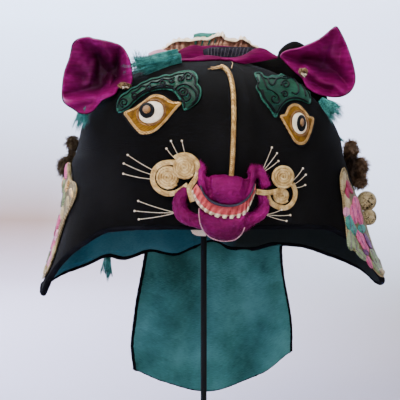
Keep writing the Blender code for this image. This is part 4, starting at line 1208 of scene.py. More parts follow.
# %% Brows
BROWS = {
    "left": {
        "top": [
            (117.6, 108.5), (118.6, 101), (122, 95.4), (127.5, 92.4), (131.5, 88.6), (137, 86.8),
            (141.5, 83.4), (147, 81.4), (152, 79), (158.5, 78), (164.5, 75.6), (171, 75.6),
            (177, 73), (184, 71.6), (190, 71.2), (194.6, 73.2), (197.2, 78), (196.6, 83.4),
            (199.8, 87.6), (200.4, 94), (198, 100.4), (192.4, 105.4), (185.4, 109.6),
        ],
        "low": [
            (118.8, 111.6), (122, 111.4), (126, 109.4), (129.6, 106.8), (132.6, 103), (137, 99),
            (141, 95.8), (146, 92.8), (151, 90.8), (156, 89.4), (161, 88.8), (166, 88.8),
            (170, 89.4), (173.4, 90.8), (175.6, 92.6), (177.2, 94.6), (178.4, 96.4), (179.6, 98.2),
            (180.8, 99.8), (182, 101.6), (182.8, 103.6), (183.6, 106), (184.4, 109),
        ],
        "scrolls": [
            [(173.6, 92.4), (176.6, 87.6), (182, 84.8), (188, 85.4), (193, 88.6), (196.2, 94),
             (196, 99.4), (192, 103.6)],
            scroll((183.6, 92.6), 5.2, 1.2, 1.5, 200), scroll((188.2, 77.2), 5, 1.2, 1.5, 150),
            scroll((180.4, 78.6), 3, 1, 1.2, 10), scroll((124, 102.6), 4.6, 1.4, 1.4, 100),
            [(131.6, 93.4), (137.6, 90.6), (141.6, 86.6), (147.6, 86.4), (151.6, 82.6), (157.6, 82.6),
             (162.6, 79.6), (169, 80.2), (174.6, 77.6)],
            [(133, 99), (139.4, 93.6), (147, 89.4), (156, 86.4), (165, 85.4), (173.4, 86.8)],
            [(178, 97.6), (183, 101.6), (188, 100.8), (190.6, 96.6), (188.6, 92.4)],
            scroll((135, 96), 3.4, 1, 1.3, 60), scroll((149, 87.6), 3.4, 1, 1.3, 60),
            scroll((163, 83.6), 3.4, 1, 1.3, 40), scroll((171.6, 80.6), 2.8, 0.9, 1.2, 20),
        ],
    },
    "right": {
        "top": [
            (255.6, 73.4), (260.6, 73), (263.6, 76.4), (268.6, 77.6), (272.6, 75.8), (277.6, 76.6),
            (281.6, 74.6), (287, 74.8), (292.6, 74.4), (297.6, 77.2), (301, 80.6), (304.6, 84),
            (307.2, 88.6), (309.4, 93.4), (310, 99.6),
        ],
        "low": [
            (255.8, 75.8), (258.8, 82.4), (256.8, 87.6), (260.2, 93.4), (262.4, 99.4), (267, 104.8),
            (271, 110), (275.4, 116.8), (277.4, 112.4), (280.6, 106.6), (285, 102.2), (290.6, 99.6),
            (296.6, 99), (303, 100.4), (309, 103),
        ],
        "scrolls": [
            [(260.3, 74.8), (264, 81.3), (267.4, 88.9), (272.4, 91.4), (277.2, 95.2), (279.3, 100.2),
             (277.7, 103.2), (273.9, 102.6), (271.6, 99.4), (272.8, 96.5), (275.5, 97.5)],
            [(262.5, 90), (264, 96.5), (267.9, 103), (270.6, 107.3), (275, 112.7)],
            [(267.9, 79.6), (269.5, 83.4), (271.9, 85.6), (274.2, 83.6), (276.4, 79.4), (280.6, 78)],
            scroll((285.4, 84.8), 4.4, 1.2, 1.4, 170),
            [(283.4, 77), (288.4, 77.4), (293.4, 79.2), (297.2, 84.4), (298.6, 91), (295.4, 94.4),
             (291.4, 92.4)],
            [(300.4, 83), (304, 89.4), (305.6, 96.4)], scroll((284.6, 94.6), 3.6, 1, 1.2, 200),
        ],
    },
}
BROW_LIFT = (0.3, 3)

for side, brow in BROWS.items():
    pad = long_pad(f"brow_{side}_pad", brow["top"], brow["low"], *BROW_LIFT, columns=90, lines=16, edge=0.45,
                   ease=0.25)
    seat = tree_of(pad)
    shown(pad, GREEN, "green_satin", f"brow_{side}")
    outline = brow["top"] + brow["low"][::-1]
    rim = cords(f"brow_edge_{side}", [laid_route(outline, 1.1, 200, closed=True)], 0.75, step=0.6,
                sides=10, lobes=3, pitch=2.4, groove=0.25, closed=True)
    shown(rim, GREEN_CORD, "green_satin")
    black = [route_on(seat, row, 0.25, 60) for row in brow["scrolls"]]
    inner = lower_half(brow["top"], 0.1, brow["low"]) + lower_half(brow["low"], 0.1, brow["top"])[::-1]
    black.append(route_on(seat, inner, 0.1, 160, closed=True))
    shown(cords(f"brow_scrolls_{side}", black, 0.68, step=0.6, sides=8), BLACK_CORD, "black_cloth")
    light = [route_on(seat, [(x + 0.8, y + 1) for x, y in row], 0.05, 60) for row in brow["scrolls"]]
    shown(cords(f"brow_highlights_{side}", light, 0.24, step=0.8, sides=6), GREEN_CORD, "green_satin")
print("brows are on")

# %% [markdown]
# ## The cheek coils
# Cream braid is wound into flat coils, and its tail wraps round the coil and runs to the
# mouth. A coil is a real spiral of twisted cord on a thin backing. The tails are flat
# braids of three cords laid side by side.

# %% Cheek coils
COIL_PITCH = 2.8
COIL_CORD = 0.98
COILS = {
    # Middle in pixels, radius in pixels, lift
    "left_low": ((167.8, 177), 11.4, 1.3), "left_high": ((184.4, 167.2), 11.2, 4.4),
    "right_low": ((281.2, 195.6), 7.8, 1.3), "right_high": ((283.1, 176.6), 11.2, 5.2),
}
BRAIDS = {
    # Route in pixels, lifts at its two ends
    "left_low": ([(179, 163), (170.5, 162.4), (162, 163.8), (155.6, 168.6), (152.8, 175.6),
                  (153.6, 183.4), (158.6, 190), (166.6, 193.6), (175.4, 192.8), (182.4, 189),
                  (188, 184.6)], 2, 3.4),
    "left_high": ([(174.6, 158.4), (180.2, 155.6), (187.8, 155.4), (194.8, 159.8), (198, 167),
                   (197, 175.6), (192.6, 183), (189.4, 188.6), (190.6, 195.4), (192.6, 201.6)],
                  4.6, 4.8),
    "right_low": ([(292.4, 184), (295, 190.6), (294.6, 198), (291, 204.6), (284.8, 207.8),
                   (277.4, 206.6), (270.8, 202.2), (267.6, 195.6)], 3.4, 2.6),
    "right_mouth": ([(256.8, 191.6), (262.6, 192.6), (269.6, 192.6), (276.6, 191.2), (281.6, 188.6)],
                    9.4, 3.2),
}
BRAID_SPREAD = 1


def braid_routes(pixels, first_lift, last_lift, count=60):
    """Three routes side by side over the cloth, the middle one proud."""
    middle = []
    for k in range(count + 1):
        share = k / count
        middle.append(on_hat(*spline(pixels, share), mix(first_lift, last_lift, share)))
    routes = []
    for offset, proud in ((-BRAID_SPREAD, 0), (0, 0.3), (BRAID_SPREAD, 0)):
        row = []
        for index, (point, out) in enumerate(middle):
            before = middle[max(index - 1, 0)][0]
            after = middle[min(index + 1, count)][0]
            side = (after - before).normalized().cross(out).normalized()
            row.append((point + side * offset + out * proud, out))
        routes.append(row)
    return routes


for name, (middle, radius, lift) in COILS.items():
    turns = radius / COIL_PITCH
    path = scroll(middle, radius, 0.7, turns, 40)
    route = [on_hat(x, y, lift + 0.5) for x, y in path]
    winding = cords(f"cheek_winding_{name}", [route], COIL_CORD, step=0.4, sides=14, lobes=3, pitch=2.8,
                    groove=0.42)
    back = round_pad(f"cheek_back_{name}", oval(middle, (radius, radius)), middle, lift - 1.1, lift - 0.15,
                     rings=5, corners=32, edge=0.9)
    node = f"cheek_coil_{name}"
    shown(merged(f"cheek_coil_{name}_braid", [winding, back]), CREAM, "cream_braid", node)
for name, (pixels, first_lift, last_lift) in BRAIDS.items():
    tail = cords(f"cheek_braid_{name}", braid_routes(pixels, first_lift, last_lift), 0.85, step=0.5,
                 sides=12, lobes=3, pitch=2.6, groove=0.3)
    shown(tail, CREAM, "cream_braid", *(["cheek_ring_right"] if name == "right_low" else []))
print(len(COILS), "coils and", len(BRAIDS), "tails")

# %% [markdown]
# ## The muzzle
# The muzzle is one sleeve of satin packed with wadding. Clay would be pinched from rolls, and
# the same works here: rolls and pads are joined, and a voxel remesh melts them into one skin.
# Smoothing rounds the seams, and a sculpting step draws in the creases of the satin.

# %% Muzzle
ROLLS = [
    # Route in pixels with a radius and a lift in millimetres at each point
    [(199.4, 160.5, 2, 2.4), (201.6, 169, 3.2, 3.4), (203.4, 180, 3.8, 4.6),
     (206.2, 188, 3.8, 5.4), (212, 195, 3.4, 6), (220, 199.6, 3.2, 6.4),
     (229, 201.2, 3.2, 6.4), (238, 199.8, 3.2, 6.4), (245, 194.6, 3.4, 6.2),
     (249.6, 187, 4, 6), (251.6, 178, 4.4, 5.4), (253.6, 171, 4.4, 4.4),
     (256.8, 165.8, 3.4, 3.2)],
    [(256.8, 167, 3.2, 3.2), (260, 173.6, 4.2, 3.6), (263, 180, 4.2, 3.4),
     (265.4, 187, 3.4, 2.8)],
    [(188, 188, 2.6, 2.8), (182.6, 193.4, 3.8, 3.8), (179.2, 201, 4.6, 4.6),
     (179.6, 209, 5.2, 5.2), (184.4, 215.6, 5.4, 5.4), (191, 219.2, 5.2, 5.2),
     (198, 221.6, 4.8, 5), (205, 225, 4.4, 5)],
    [(258.6, 190.6, 2.4, 2.6), (262, 197, 3.2, 3.4), (264, 204.6, 3.9, 4),
     (262, 211.6, 4.4, 4.6), (256, 216.4, 4.6, 5), (249, 219.6, 4.6, 5),
     (243, 224, 5, 5.4), (238, 229.6, 4.4, 5.4)],
]
NOSE_TOP = [(209.6, 175.8), (215, 174.8), (222, 174.8), (231, 175.4), (238.6, 176.6), (244, 178.2)]
NOSE_LOW = [(210, 198), (216, 203), (223, 205.4), (231, 205.6), (238.6, 203), (243.6, 198)]
VALLEYS = [[(205.6, 173), (207.4, 180), (208.6, 188), (210, 195)],
           [(247.6, 174), (246.6, 181), (245.4, 188), (244, 194)],
           [(257, 187), (256.4, 180), (258, 172)]]
VALLEY_WIDTH = 2.3
VALLEY_DEPTH = 2.4
CHIN_TOP = [(198.6, 207), (205, 210.6), (214, 213.4), (226, 214.8), (238, 214), (247.6, 210.6)]
CHIN_LOW = [(199.6, 223), (204.6, 233), (213.6, 239.6), (226, 241.8), (237.6, 238.6), (245.6, 227)]
MUZZLE_PADS = [
    # Top edge, low edge, under and over lift
    (NOSE_TOP, NOSE_LOW, 1, 14.8),
    (CHIN_TOP, CHIN_LOW, 1, 12.4),
]
ROLL_SIDES = 20
ROLL_STEPS = 50
MELT = 0.00075
SOFTENING = 8
FRAYS = 9000
FRAY_REACH = 5.5
FRAY_LINES = [
    [(199.4, 160.5), (203.4, 180), (206, 187)], [(251, 182), (253.6, 171), (257, 165)],
    [(256.8, 167), (260, 173.6), (263, 180), (265.4, 187)],
    [(184, 191), (179.2, 201), (184.4, 215.6), (198, 221.6)],
    [(262, 197), (263.6, 205), (256, 216.4), (243, 226)],
]


def roll(rows):
    """A round roll whose radius follows its table."""
    points, route = [], []
    for k in range(ROLL_STEPS + 1):
        px, py, radius, lift = spline(rows, k / ROLL_STEPS)
        route.append((*on_hat(px, py, lift), radius))
    for index, (point, out, radius) in enumerate(route):
        before, after = route[max(index - 1, 0)][0], route[min(index + 1, ROLL_STEPS)][0]
        side = (after - before).normalized().cross(out).normalized()
        end = min(1, math.sqrt((min(index, ROLL_STEPS - index) + 0.4) / 3))
        for k in range(ROLL_SIDES):
            points.append(point + turned(side, out, math.tau * k / ROLL_SIDES) * radius * end)
    return mesh_piece("muzzle_roll", points, tube(ROLL_STEPS + 1, ROLL_SIDES))


def from_line(px, py, line):
    """Distance in pixels from a line through a few points."""
    near = []
    for first, second in zip(line, line[1:]):
        ax, ay = px - first[0], py - first[1]
        bx, by = second[0] - first[0], second[1] - first[1]
        share = max(0, min(1, (ax * bx + ay * by) / (bx * bx + by * by)))
        near.append(math.hypot(ax - share * bx, ay - share * by))
    return min(near)


def crease(point, normal):
    """Satin pulled into valleys beside the nose and short creases across the rolls."""
    long_wave = wobble(point.x * 0.16, point.y * 0.16, point.z * 0.30)
    short_wave = abs(wobble(point.x * 0.42 + 7, point.y * 0.3, point.z * 0.42))
    seen = pixel_of(point)
    valley = max(bell(from_line(*seen, line), 0, VALLEY_WIDTH) for line in VALLEYS)
    return normal * (0.6 * long_wave - 0.9 * max(0, 0.16 - short_wave) / 0.16 - VALLEY_DEPTH * valley)


lumps = [roll(rows) for rows in ROLLS]
for top, low, under, over in MUZZLE_PADS:
    lumps.append(long_pad("muzzle_pad", top, low, under, over, columns=40, lines=16, edge=0.42))
muzzle = merged("muzzle", lumps)
only(muzzle)
muzzle.data.remesh_voxel_size = MELT
bpy.ops.object.voxel_remesh()
modified(muzzle, "SMOOTH", factor=0.5, iterations=SOFTENING)
sculpted(muzzle, crease)
modified(muzzle, "SMOOTH", factor=0.5, iterations=2)
muzzle.data.shade_smooth()
shown(muzzle, MAGENTA, "magenta_satin", "muzzle_left", "muzzle_right", "nose", "upper_lip", "lower_jaw")
muzzle_tree = tree_of(muzzle)
frays = []
for _ in range(FRAYS):
    corner = muzzle.data.vertices[chance.randrange(len(muzzle.data.vertices))]
    start = corner.co / MM
    if min(from_line(*pixel_of(start), line) for line in FRAY_LINES) < FRAY_REACH:
        out = (corner.normal + anywhere() * 0.6).normalized()
        length = chance.uniform(0.7, 1.9)
        frays.append([start - out * 0.2, start + out * length * 0.5,
                      start + (out + anywhere() * 0.3) * length])
shown(strands("muzzle_frays", frays, 0.1), MAGENTA, "magenta_satin")
print("muzzle", len(muzzle.data.polygons), "faces")

# %% [markdown]
# ## The mouth
# Under the lip hangs a ruffle of coral ribbon with a cream edge, folded into box pleats that
# spread at the bottom. The two strips share one set of folds, so the edge follows the ribbon.
# A grey binding covers the lip above it, and pink piping runs round the chin.

# %% Mouth
MOUTH_OUTLINE = [
    (187, 197), (188, 208), (196, 217), (214, 222), (234, 222), (250, 218),
    (259, 208), (259.6, 194), (252, 189), (244, 199), (230, 204), (212, 202),
    (200, 193),
]
RUFFLE_TOP = [
    (195, 186.4), (199.8, 194), (205.4, 200.6), (212.6, 205.2), (221.6, 207.4), (231.6, 207.6),
    (240.6, 205.4), (247.4, 200.4), (252, 194), (255.6, 186.6),
]
RUFFLE_LOW = [
    (191.8, 191.2), (195, 199.4), (200.2, 207.2), (207, 212.6), (216.4, 216.8), (228, 218.4),
    (239, 217.4), (246.4, 212.2), (250.8, 203.4), (255.4, 192.4),
]
LIP_TOP = [
    (201.2, 184.4), (203.4, 190.8), (208.4, 197.4), (215.4, 202), (226, 204.6), (237.2, 203.6),
    (245.4, 198.8), (251, 191.8), (254.6, 183.2),
]
LIP_LOW = [
    (199.6, 186.4), (202.6, 193.4), (207.6, 200), (214.8, 204.6), (225.6, 207), (237.4, 206),
    (246.4, 200.8), (252.2, 193.4), (255.4, 184.8),
]
CHIN_LINE = [
    (199.2, 207), (199.4, 217), (201.4, 226.4), (206.8, 234.4), (214.6, 239.2), (225, 241),
    (234.6, 239.4), (241, 234.4), (244.6, 227.6),
]
PLEATS = 14
PLEAT_STEPS = 12
RUFFLE_DEPTH = 10
RIBBON_EDGE = 0.72
RIBBON_WALL = 0.4
TUCK = -0.5
RUFFLE_FOLD = (0.45, 2.1)
RUFFLE_LIFT = (7.2, 8.6)


def ruffle_rows(start, stop, proud):
    """Rows of points of one strip, between two shares of the ruffle's depth."""
    def place(part, share):
        down = mix(start, stop, part)
        phase = math.tau * PLEATS * share
        wave = math.tanh(2.2 * math.sin(phase + 0.5 * wobble(share * 9, 0, 0)))
        scallop = 0.05 * abs(math.sin(phase / 2)) if down > 0.9 else 0
        px, py = between(spline(RUFFLE_TOP, share), spline(RUFFLE_LOW, share), down + scallop)
        ends = min(1, 7 * min(share, 1 - share) + 0.1)
        lift = mix(*RUFFLE_LIFT, down) * mix(0.6, 1, ends) + mix(*RUFFLE_FOLD, down) * wave + proud
        return on_hat(px, py, lift)[0]

    return grid(RUFFLE_DEPTH, PLEATS * PLEAT_STEPS, place)


ground = round_pad("mouth_ground_cloth", MOUTH_OUTLINE, (224, 211), 0.6, 1.8, rings=6, corners=60,
                   edge=0.9)
shown(ground, BLACK_CORD, "black_cloth", "mouth_ground")
ribbon = cloth_grid("gum_ruffle_ribbon", ruffle_rows(TUCK, RIBBON_EDGE, 0), (105, 10.5))
walled(ribbon, RIBBON_WALL)
shown(ribbon, CORAL, "coral_ribbon", "gum_ruffle")
ribbon_edge = cloth_grid("gum_ruffle_edge", ruffle_rows(RIBBON_EDGE - 0.03, 1, 0.25), (118, 4.5))
walled(ribbon_edge, RIBBON_WALL)
shown(ribbon_edge, CREAM_RIBBON, "coral_ribbon")

lip = long_pad("lip_binding_strip", LIP_TOP, LIP_LOW, 6.4, 11.6, columns=90, lines=8, edge=0.7, ease=0.15)
shown(lip, LILAC, "lilac_binding", "lip_binding")
chin = route_on(muzzle_tree, CHIN_LINE, 0.15, 90)
piping = cords("jaw_piping_cord", [chin], 0.42, step=0.6, sides=8, lobes=2, pitch=1.6)
shown(piping, PINK, "pink_piping", "jaw_piping")
print("mouth has", PLEATS, "pleats")

# %% [markdown]
# ## The ears
# An ear is a cup of satin backed with black cloth. Rings run from a deep middle out to the
# outline seen in the photo, and each ring is pushed back or brought forward along the line of
# sight, so the outline stays true while the folds take shape. Where the cup meets the crown
# it rests on it. A thickness is given to both layers with a Solidify modifier.

# %% Ears
EAR_SHAPES = {
    "left": {
        "place": (-85, -40, 291), "turn": -26, "middle": (108, 72), "depth": 21, "shadow": 17,
        "cut": (0.072, 0.068), "area": 0.0037,
        "outline": [
            (88, 37.6), (78.5, 39.4), (73.2, 44), (71.4, 52), (69.4, 60), (65.6, 70),
            (63.6, 80), (62.6, 93), (63.6, 100.6), (67.4, 104.8), (73, 108.2), (79.4, 112.4),
            (86, 113.4), (92.4, 110.6), (97, 105.4), (101.4, 100.6), (108.6, 97.2), (116.6, 93),
            (121.6, 89), (127.4, 87.4), (131.6, 81.6), (131.4, 73), (129.8, 62.6), (126, 53),
            (120.6, 46.4), (112, 43), (100.6, 40.4), (93.6, 39.2),
        ],
        # Folds: a line in pixels, its width in pixels, and its forward reach in millimetres
        "folds": [
            ([(60, 96), (84, 92), (118, 86)], 5.5, -5),
            ([(66, 104), (88, 98), (110, 92)], 6, 9),
            ([(104, 46), (111, 56), (110, 84)], 3.4, 5), ([(99, 56), (101, 82)], 4, -4.5),
            ([(119, 50), (118, 68), (116, 86)], 4, -5), ([(78, 46), (90, 70)], 7, 2.4),
            ([(127, 60), (128, 80)], 3.5, 3), ([(70, 72), (84, 78)], 4, -2),
            ([(84, 42), (96, 56)], 4, -2.4), ([(88, 84), (96, 62)], 3.4, 2.6),
        ],
    },
    "right": {
        "place": (86, -34, 301), "turn": 6, "middle": (322, 68), "depth": 18, "shadow": 22,
        "cut": (0.078, 0.066), "area": 0.0034,
        "outline": [
            (336.6, 27.2), (340.4, 33), (345.4, 43.4), (350.4, 57), (353.4, 68), (354.8, 77),
            (353.8, 84.6), (349.8, 91.2), (343, 95.4), (335, 96.6), (327, 95.8), (318, 93.8),
            (311, 90), (306.4, 86), (303.6, 80), (299.6, 75.4), (294.6, 71.4), (288.8, 65.6),
            (283.6, 60), (280.6, 56.4), (283.4, 52.6), (289, 50.2), (297, 48.8), (305, 46.2),
            (315, 42), (322.4, 37.6), (329.2, 31.8), (333.2, 28.6),
        ],
        "folds": [
            ([(306, 67), (316, 75), (325, 81), (335, 84), (344, 92)], 4.6, 9),
            ([(304, 58), (320, 62), (336, 72), (347, 85)], 5, -6),
            ([(312, 50), (346, 62)], 8, 3.4), ([(286, 57), (306, 64)], 3.6, -3.5),
            ([(304, 78), (316, 86), (330, 92)], 3.4, -4), ([(335, 30), (330, 56)], 4, 2.6),
            ([(322, 44), (318, 60)], 3.4, -2.4), ([(342, 46), (340, 66)], 3.4, -2.2),
        ],
    },
}
EAR_RINGS = 32
EAR_SPOKES = 144
EAR_CLEARANCE = 1.2
EAR_WALL = 1.1
EAR_BACK = 1.5
# How dark the painted shade gets where an ear cup lies deepest
DEEPEST_PAINTED_SHADE = 0.88


def on_plane(px, py, place, facing):
    """Where the line of sight through a pixel meets a plane."""
    along = sight(px, py)
    return EYE + along * ((place - EYE).dot(facing) / along.dot(facing))


def clear_of_cloth(point, room):
    """The point, or the nearest one that keeps this much room outside the crown."""
    near, out, _, _ = outside.find_nearest(point * MM)
    near = near / MM
    out = out if out.dot(near - Vector((MIDDLE_X, 0, 200))) > 0 else -out
    short = room - (point - near).dot(out)
    return point + out * short if short > 0 else point


def ear_forward(ear, px, py, reach):
    """How far the cup comes forward of its plane at a pixel."""
    forward = -ear["depth"] * (1 - reach**1.5)
    for line, width, push in ear["folds"]:
        forward += push * bell(from_line(px, py, line), 0, width) * min(1, 1.7 * reach)
    forward += 1.1 * wobble(px * 0.09, py * 0.09, 3) * reach
    return forward + 0.5 * wobble(px * 0.22, py * 0.22, 8)


def ear_rows(ear, back, shades=None):
    """Rows of points of one layer; shades, if given, receives the painted shade of each point, darker where
    the cup lies deeper.
    """
    lean = math.radians(ear["turn"])
    facing = Vector((math.sin(lean), -math.cos(lean), 0))

    def place(outwards, turn):
        reach = max(0.01, outwards**0.85)
        px, py = between(ear["middle"], spline(ear["outline"], turn, True), reach)
        forward = ear_forward(ear, px, py, reach)
        # Painted shade: the satin is darker the deeper the cup lies at this point
        if shades is not None:
            shades.append(1 - DEEPEST_PAINTED_SHADE * min(1, max(0, -forward / ear["shadow"])) ** 1.3)
        point = on_plane(px, py, Vector(ear["place"]) + facing * (forward - back), facing)
        return clear_of_cloth(point, EAR_CLEARANCE + (EAR_BACK - back))

    return grid(EAR_RINGS, EAR_SPOKES, place, ring=True)


for side, ear in EAR_SHAPES.items():
    shades = []
    satin_cup = cloth_grid(f"ear_lining_{side}_satin", ear_rows(ear, 0, shades), (90, 40), wrap=True)
    # The hollow attribute carries each point's painted shade to the satin
    hollow = satin_cup.data.color_attributes.new("hollow", "FLOAT_COLOR", "POINT")
    for index, shade in enumerate(shades):
        hollow.data[index].color = (shade, shade, shade, 1)
    walled(satin_cup, EAR_WALL)
    shown(satin_cup, EAR_SATIN, "magenta_satin", f"ear_lining_{side}")
    cloth_cup = cloth_grid(f"ear_{side}_cloth", ear_rows(ear, EAR_BACK), (90, 40), wrap=True)
    walled(cloth_cup, EAR_WALL)
    shown(cloth_cup, BLACK, "black_cloth", f"ear_{side}")
    rim = [(point, Vector((0, -1, 0))) for point in ear_rows(ear, EAR_BACK)[-1]]
    edge = cords(f"ear_edge_{side}", [rim + rim[:1]], 0.8, step=1.2, sides=8, closed=True)
    shown(edge, BINDING, "black_cloth")
    print(side, "ear", round(flat_area(satin_cup) * 10000), "square centimetres")

# %% [markdown]
# ## The top of the hat
# On the crown stand two satin petals with an embroidered leaf between them and a pleated ribbon fan behind.
# Each is a sheet that stands on the dome: its foot rests on the cloth, its top edge follows the outline in
# the photo, and its depth is given. Loose edges are waved a little, since cut ribbon never lies flat.

# %% Top ornament
TOP_ROOM = 0.9
LEAF_STITCHES = 15


def stood(px, py, ahead):
    """The point at a pixel that lies at this distance beyond the rod, seen from the eye."""
    along = sight(px, py)
    return EYE + along * ((ahead - AHEAD.dot(EYE)) / AHEAD.dot(along))


def standing_sheet(name, top, foot, ahead, lean, belly=0, pleats=0, fold=0, columns=120, lines=16,
                   size=(80, 14), wall=0.8, waves=0.4):
    """A sheet between a foot and a top edge in pixels, leaning and bellied in depth."""
    def place(up, share):
        px, py = between(spline(foot, share), spline(top, share), up)
        depth = ahead + lean * up - belly * math.sin(math.pi * up) * math.sin(math.pi * share) ** 0.5
        if pleats:
            turn = pleats * share + 0.5 * wobble(share * 7, 5, 0)
            wave = math.tanh(1.8 * math.sin(math.tau * turn))
            depth += mix(0.4, 1, up) * fold * wave
            py -= up * 0.8 * wave
        depth += waves * up * wobble(px * 0.13, py * 0.1, ahead)
        return clear_of_cloth(stood(px, py, depth), TOP_ROOM)

    return walled(cloth_grid(name, grid(lines, columns, place), size), wall)


FRONT_TOP = [
    (176.6, 61), (182, 58.6), (190, 58.8), (197, 57.4), (205, 55.8), (215, 56.6),
    (226, 58.2), (236, 57.8), (245, 55), (252, 50.8), (258.6, 48.2), (265, 49.4),
    (272, 53.8), (277.4, 57),
]
FRONT_FOOT = [
    (177.6, 62.6), (184, 66.4), (191, 67.6), (199, 66.6), (207, 65.4), (216, 64.2),
    (225, 63.8), (235, 65.4), (243, 64.4), (250, 63.2), (257, 62), (264, 60.8),
    (271, 59.4), (277.2, 58.2),
]
BACK_TOP = [
    (176.8, 57), (179.4, 51.4), (186, 47.8), (194, 45.4), (203, 46.4), (214, 46),
    (225, 46.4), (234, 47.6), (243, 49.4),
]
BACK_FOOT = [
    (178, 63), (183, 64), (190, 64), (198, 64), (206, 64), (214, 63),
    (222, 62), (231, 62), (240, 62),
]
LEAF_TOP = [(203, 50), (212, 47.6), (224, 47.2), (237, 47.2), (249, 47.6), (262.4, 49.4)]
LEAF_FOOT = [(206, 60), (214, 61), (224, 62), (236, 61), (248, 58), (259, 54)]
FAN_TOP = [
    (158, 50.6), (163.4, 47.6), (168, 43.8), (174, 39.6), (181, 38.2), (190, 38.6),
    (200, 36.8), (209, 37), (216, 33.4), (223, 32.4), (226, 36.4), (236, 39),
    (242, 36.2), (247, 38.8), (252.6, 44), (262, 48.6),
]
FAN_FOOT = [(160, 60), (176, 61), (195, 62), (214, 62), (234, 61), (262, 57)]
PINK_TOP = [(148.6, 53.6), (154, 51), (160.6, 49.6), (167, 51), (174, 52.4), (180, 54)]
PINK_FOOT = [(149, 60), (156, 61), (163, 62), (169, 62), (175, 62), (181, 62)]

petal_front = standing_sheet("petal_front_satin", FRONT_TOP, FRONT_FOOT, -40, 4, belly=3,
                             size=(78, 9), wall=1.2)
shown(petal_front, PETAL_SATIN, "magenta_satin", "petal_front")
petal_back = standing_sheet("petal_back_satin", BACK_TOP, BACK_FOOT, -27, 5, belly=2.5,
                            size=(50, 14), wall=1.2)
shown(petal_back, PETAL_SATIN, "magenta_satin", "petal_back")
leaf = standing_sheet("top_leaf_cloth", LEAF_TOP, LEAF_FOOT, -31, 5, belly=1.5, size=(44, 10),
                      wall=1)
shown(leaf, GREY, "grey_embroidery", "top_leaf")
fan = standing_sheet("ribbon_fan", FAN_TOP, FAN_FOOT, -11, 6, pleats=17, fold=1.8, columns=250, lines=12,
                     size=(150, 18), wall=0.7, waves=1.6)
shown(fan, RIBBON, "coral_ribbon", "rosette")
pink = standing_sheet("pink_petal", PINK_TOP, PINK_FOOT, -23, 3, belly=2, size=(24, 8), wall=0.9)
shown(pink, PINK_SATIN, "coral_ribbon")

edge_low = lower_half(FAN_TOP, 0.13, FAN_FOOT)
edge = standing_sheet("ribbon_edge", FAN_TOP, edge_low, -11.8, 5.9, pleats=17, fold=1.8, columns=250, lines=4,
                      size=(150, 3), wall=0.6, waves=1.6)
shown(edge, CREAM_RIBBON, "coral_ribbon")
GREEN_BIT_TOP = [(193.6, 34.4), (200, 32.8), (208, 33.2), (216, 33)]
GREEN_BIT_FOOT = [(193, 47), (200, 48), (208, 48), (216, 47)]
green_bit = standing_sheet("green_ribbon_bit", GREEN_BIT_TOP, GREEN_BIT_FOOT, -6, 1, columns=40, lines=6,
                           size=(18, 3), wall=0.7)
shown(green_bit, SILKS["jade"], "teal_floss")
# Each sheet with its cut in metres and its flat area
TOP_SHEETS = [
    (petal_front, (0.080, 0.0105), 0.00075, "folded", [crown], []),
    (petal_back, (0.051, 0.0145), 0.00068, "folded", [crown], []),
    (leaf, (0.046, 0.0115), 0.0005, "laid", [petal_back], []),
    (pink, (0.026, 0.0105), 0.00024, "folded", [crown], []),
    (fan, (0.150, 0.0155), 0.0021, "gathered", [crown], [edge]),
    (green_bit, (0.018, 0.0128), 0.00022, "folded", [fan], []),
]
for sheet, cut, area, held, under, sewn_on in TOP_SHEETS:
    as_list(under)
    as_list(sewn_on)
veins = []
for k in range(LEAF_STITCHES):
    share = 0.08 + 0.84 * k / (LEAF_STITCHES - 1)
    low, high = spline(LEAF_FOOT, share), spline(LEAF_TOP, share + 0.05)
    veins.append([(stood(*between(low, high, t), -33.4 + 5 * t), -AHEAD)
                  for t in (0.35, 0.5, 0.65, 0.8, 0.94)])
shown(cords("leaf_stitches", veins, 0.3, step=0.7, sides=6), DARK_STITCH, "grey_embroidery")

# %% [markdown]
# ## The black lobe behind the right ear
# The back of the right ear is puffed out and shows as a black lobe beside the satin. It is
# one rounded pouch of the same cloth as the crown.

# %% Ear lobe
LOBE_OUTLINE = [
    (243, 65), (254, 61), (265, 59.2), (273, 57.6), (277.4, 55.4), (278.6, 51.6), (282.4, 47),
    (288, 43), (294.4, 41.2), (300, 42.6), (305, 46), (309, 53), (313, 66),
    (319, 80), (325.6, 93), (328.6, 104), (327, 113), (318, 108), (306, 98),
    (292, 86), (278, 77), (264, 71.6), (254, 67.6),
]
LOBE_MIDDLE = (297, 68)
LOBE_PLACE = -14
LOBE_DEPTH = 16
LOBE_RINGS = 14
LOBE_SPOKES = 64


def lobe_side(swelling):
    """Rows of points of one side of the lobe, swollen by a share of its depth."""
    def place(outwards, turn):
        reach = max(0.02, outwards)
        px, py = between(LOBE_MIDDLE, spline(LOBE_OUTLINE, turn, True), reach)
        lumpy = 1 + 0.15 * noise.noise(Vector((px, py, 0)) * 0.1)
        swell = math.sqrt(max(0, 1 - reach**2.2)) * lumpy
        return clear_of_cloth(stood(px, py, LOBE_PLACE + LOBE_DEPTH * (0.75 + swelling * swell)), 0.5)

    return grid(LOBE_RINGS, LOBE_SPOKES, place, ring=True)


lobe = closed_pad("ear_lobe_right", lobe_side(-0.22), lobe_side(0.5), ring=True)
lobe_maps = lobe.data.uv_layers.new(name="cloth")
for corner in lobe.data.loops:
    place = lobe.data.vertices[corner.vertex_index].co
    lobe_maps.data[corner.index].uv = (place.x, place.z)
shown(lobe, BLACK, "black_cloth")

# %% [markdown]
# ## Knots, tufts and balls
# Floss, fur and thread are bundles of fine strands. One function draws a tapered strand along
# a curve, and the rest is where strands start and how they lean: flaring out of a root for a
# tuft, outwards all over a lumpy core for a fur ball, and round and round for a silk ball.

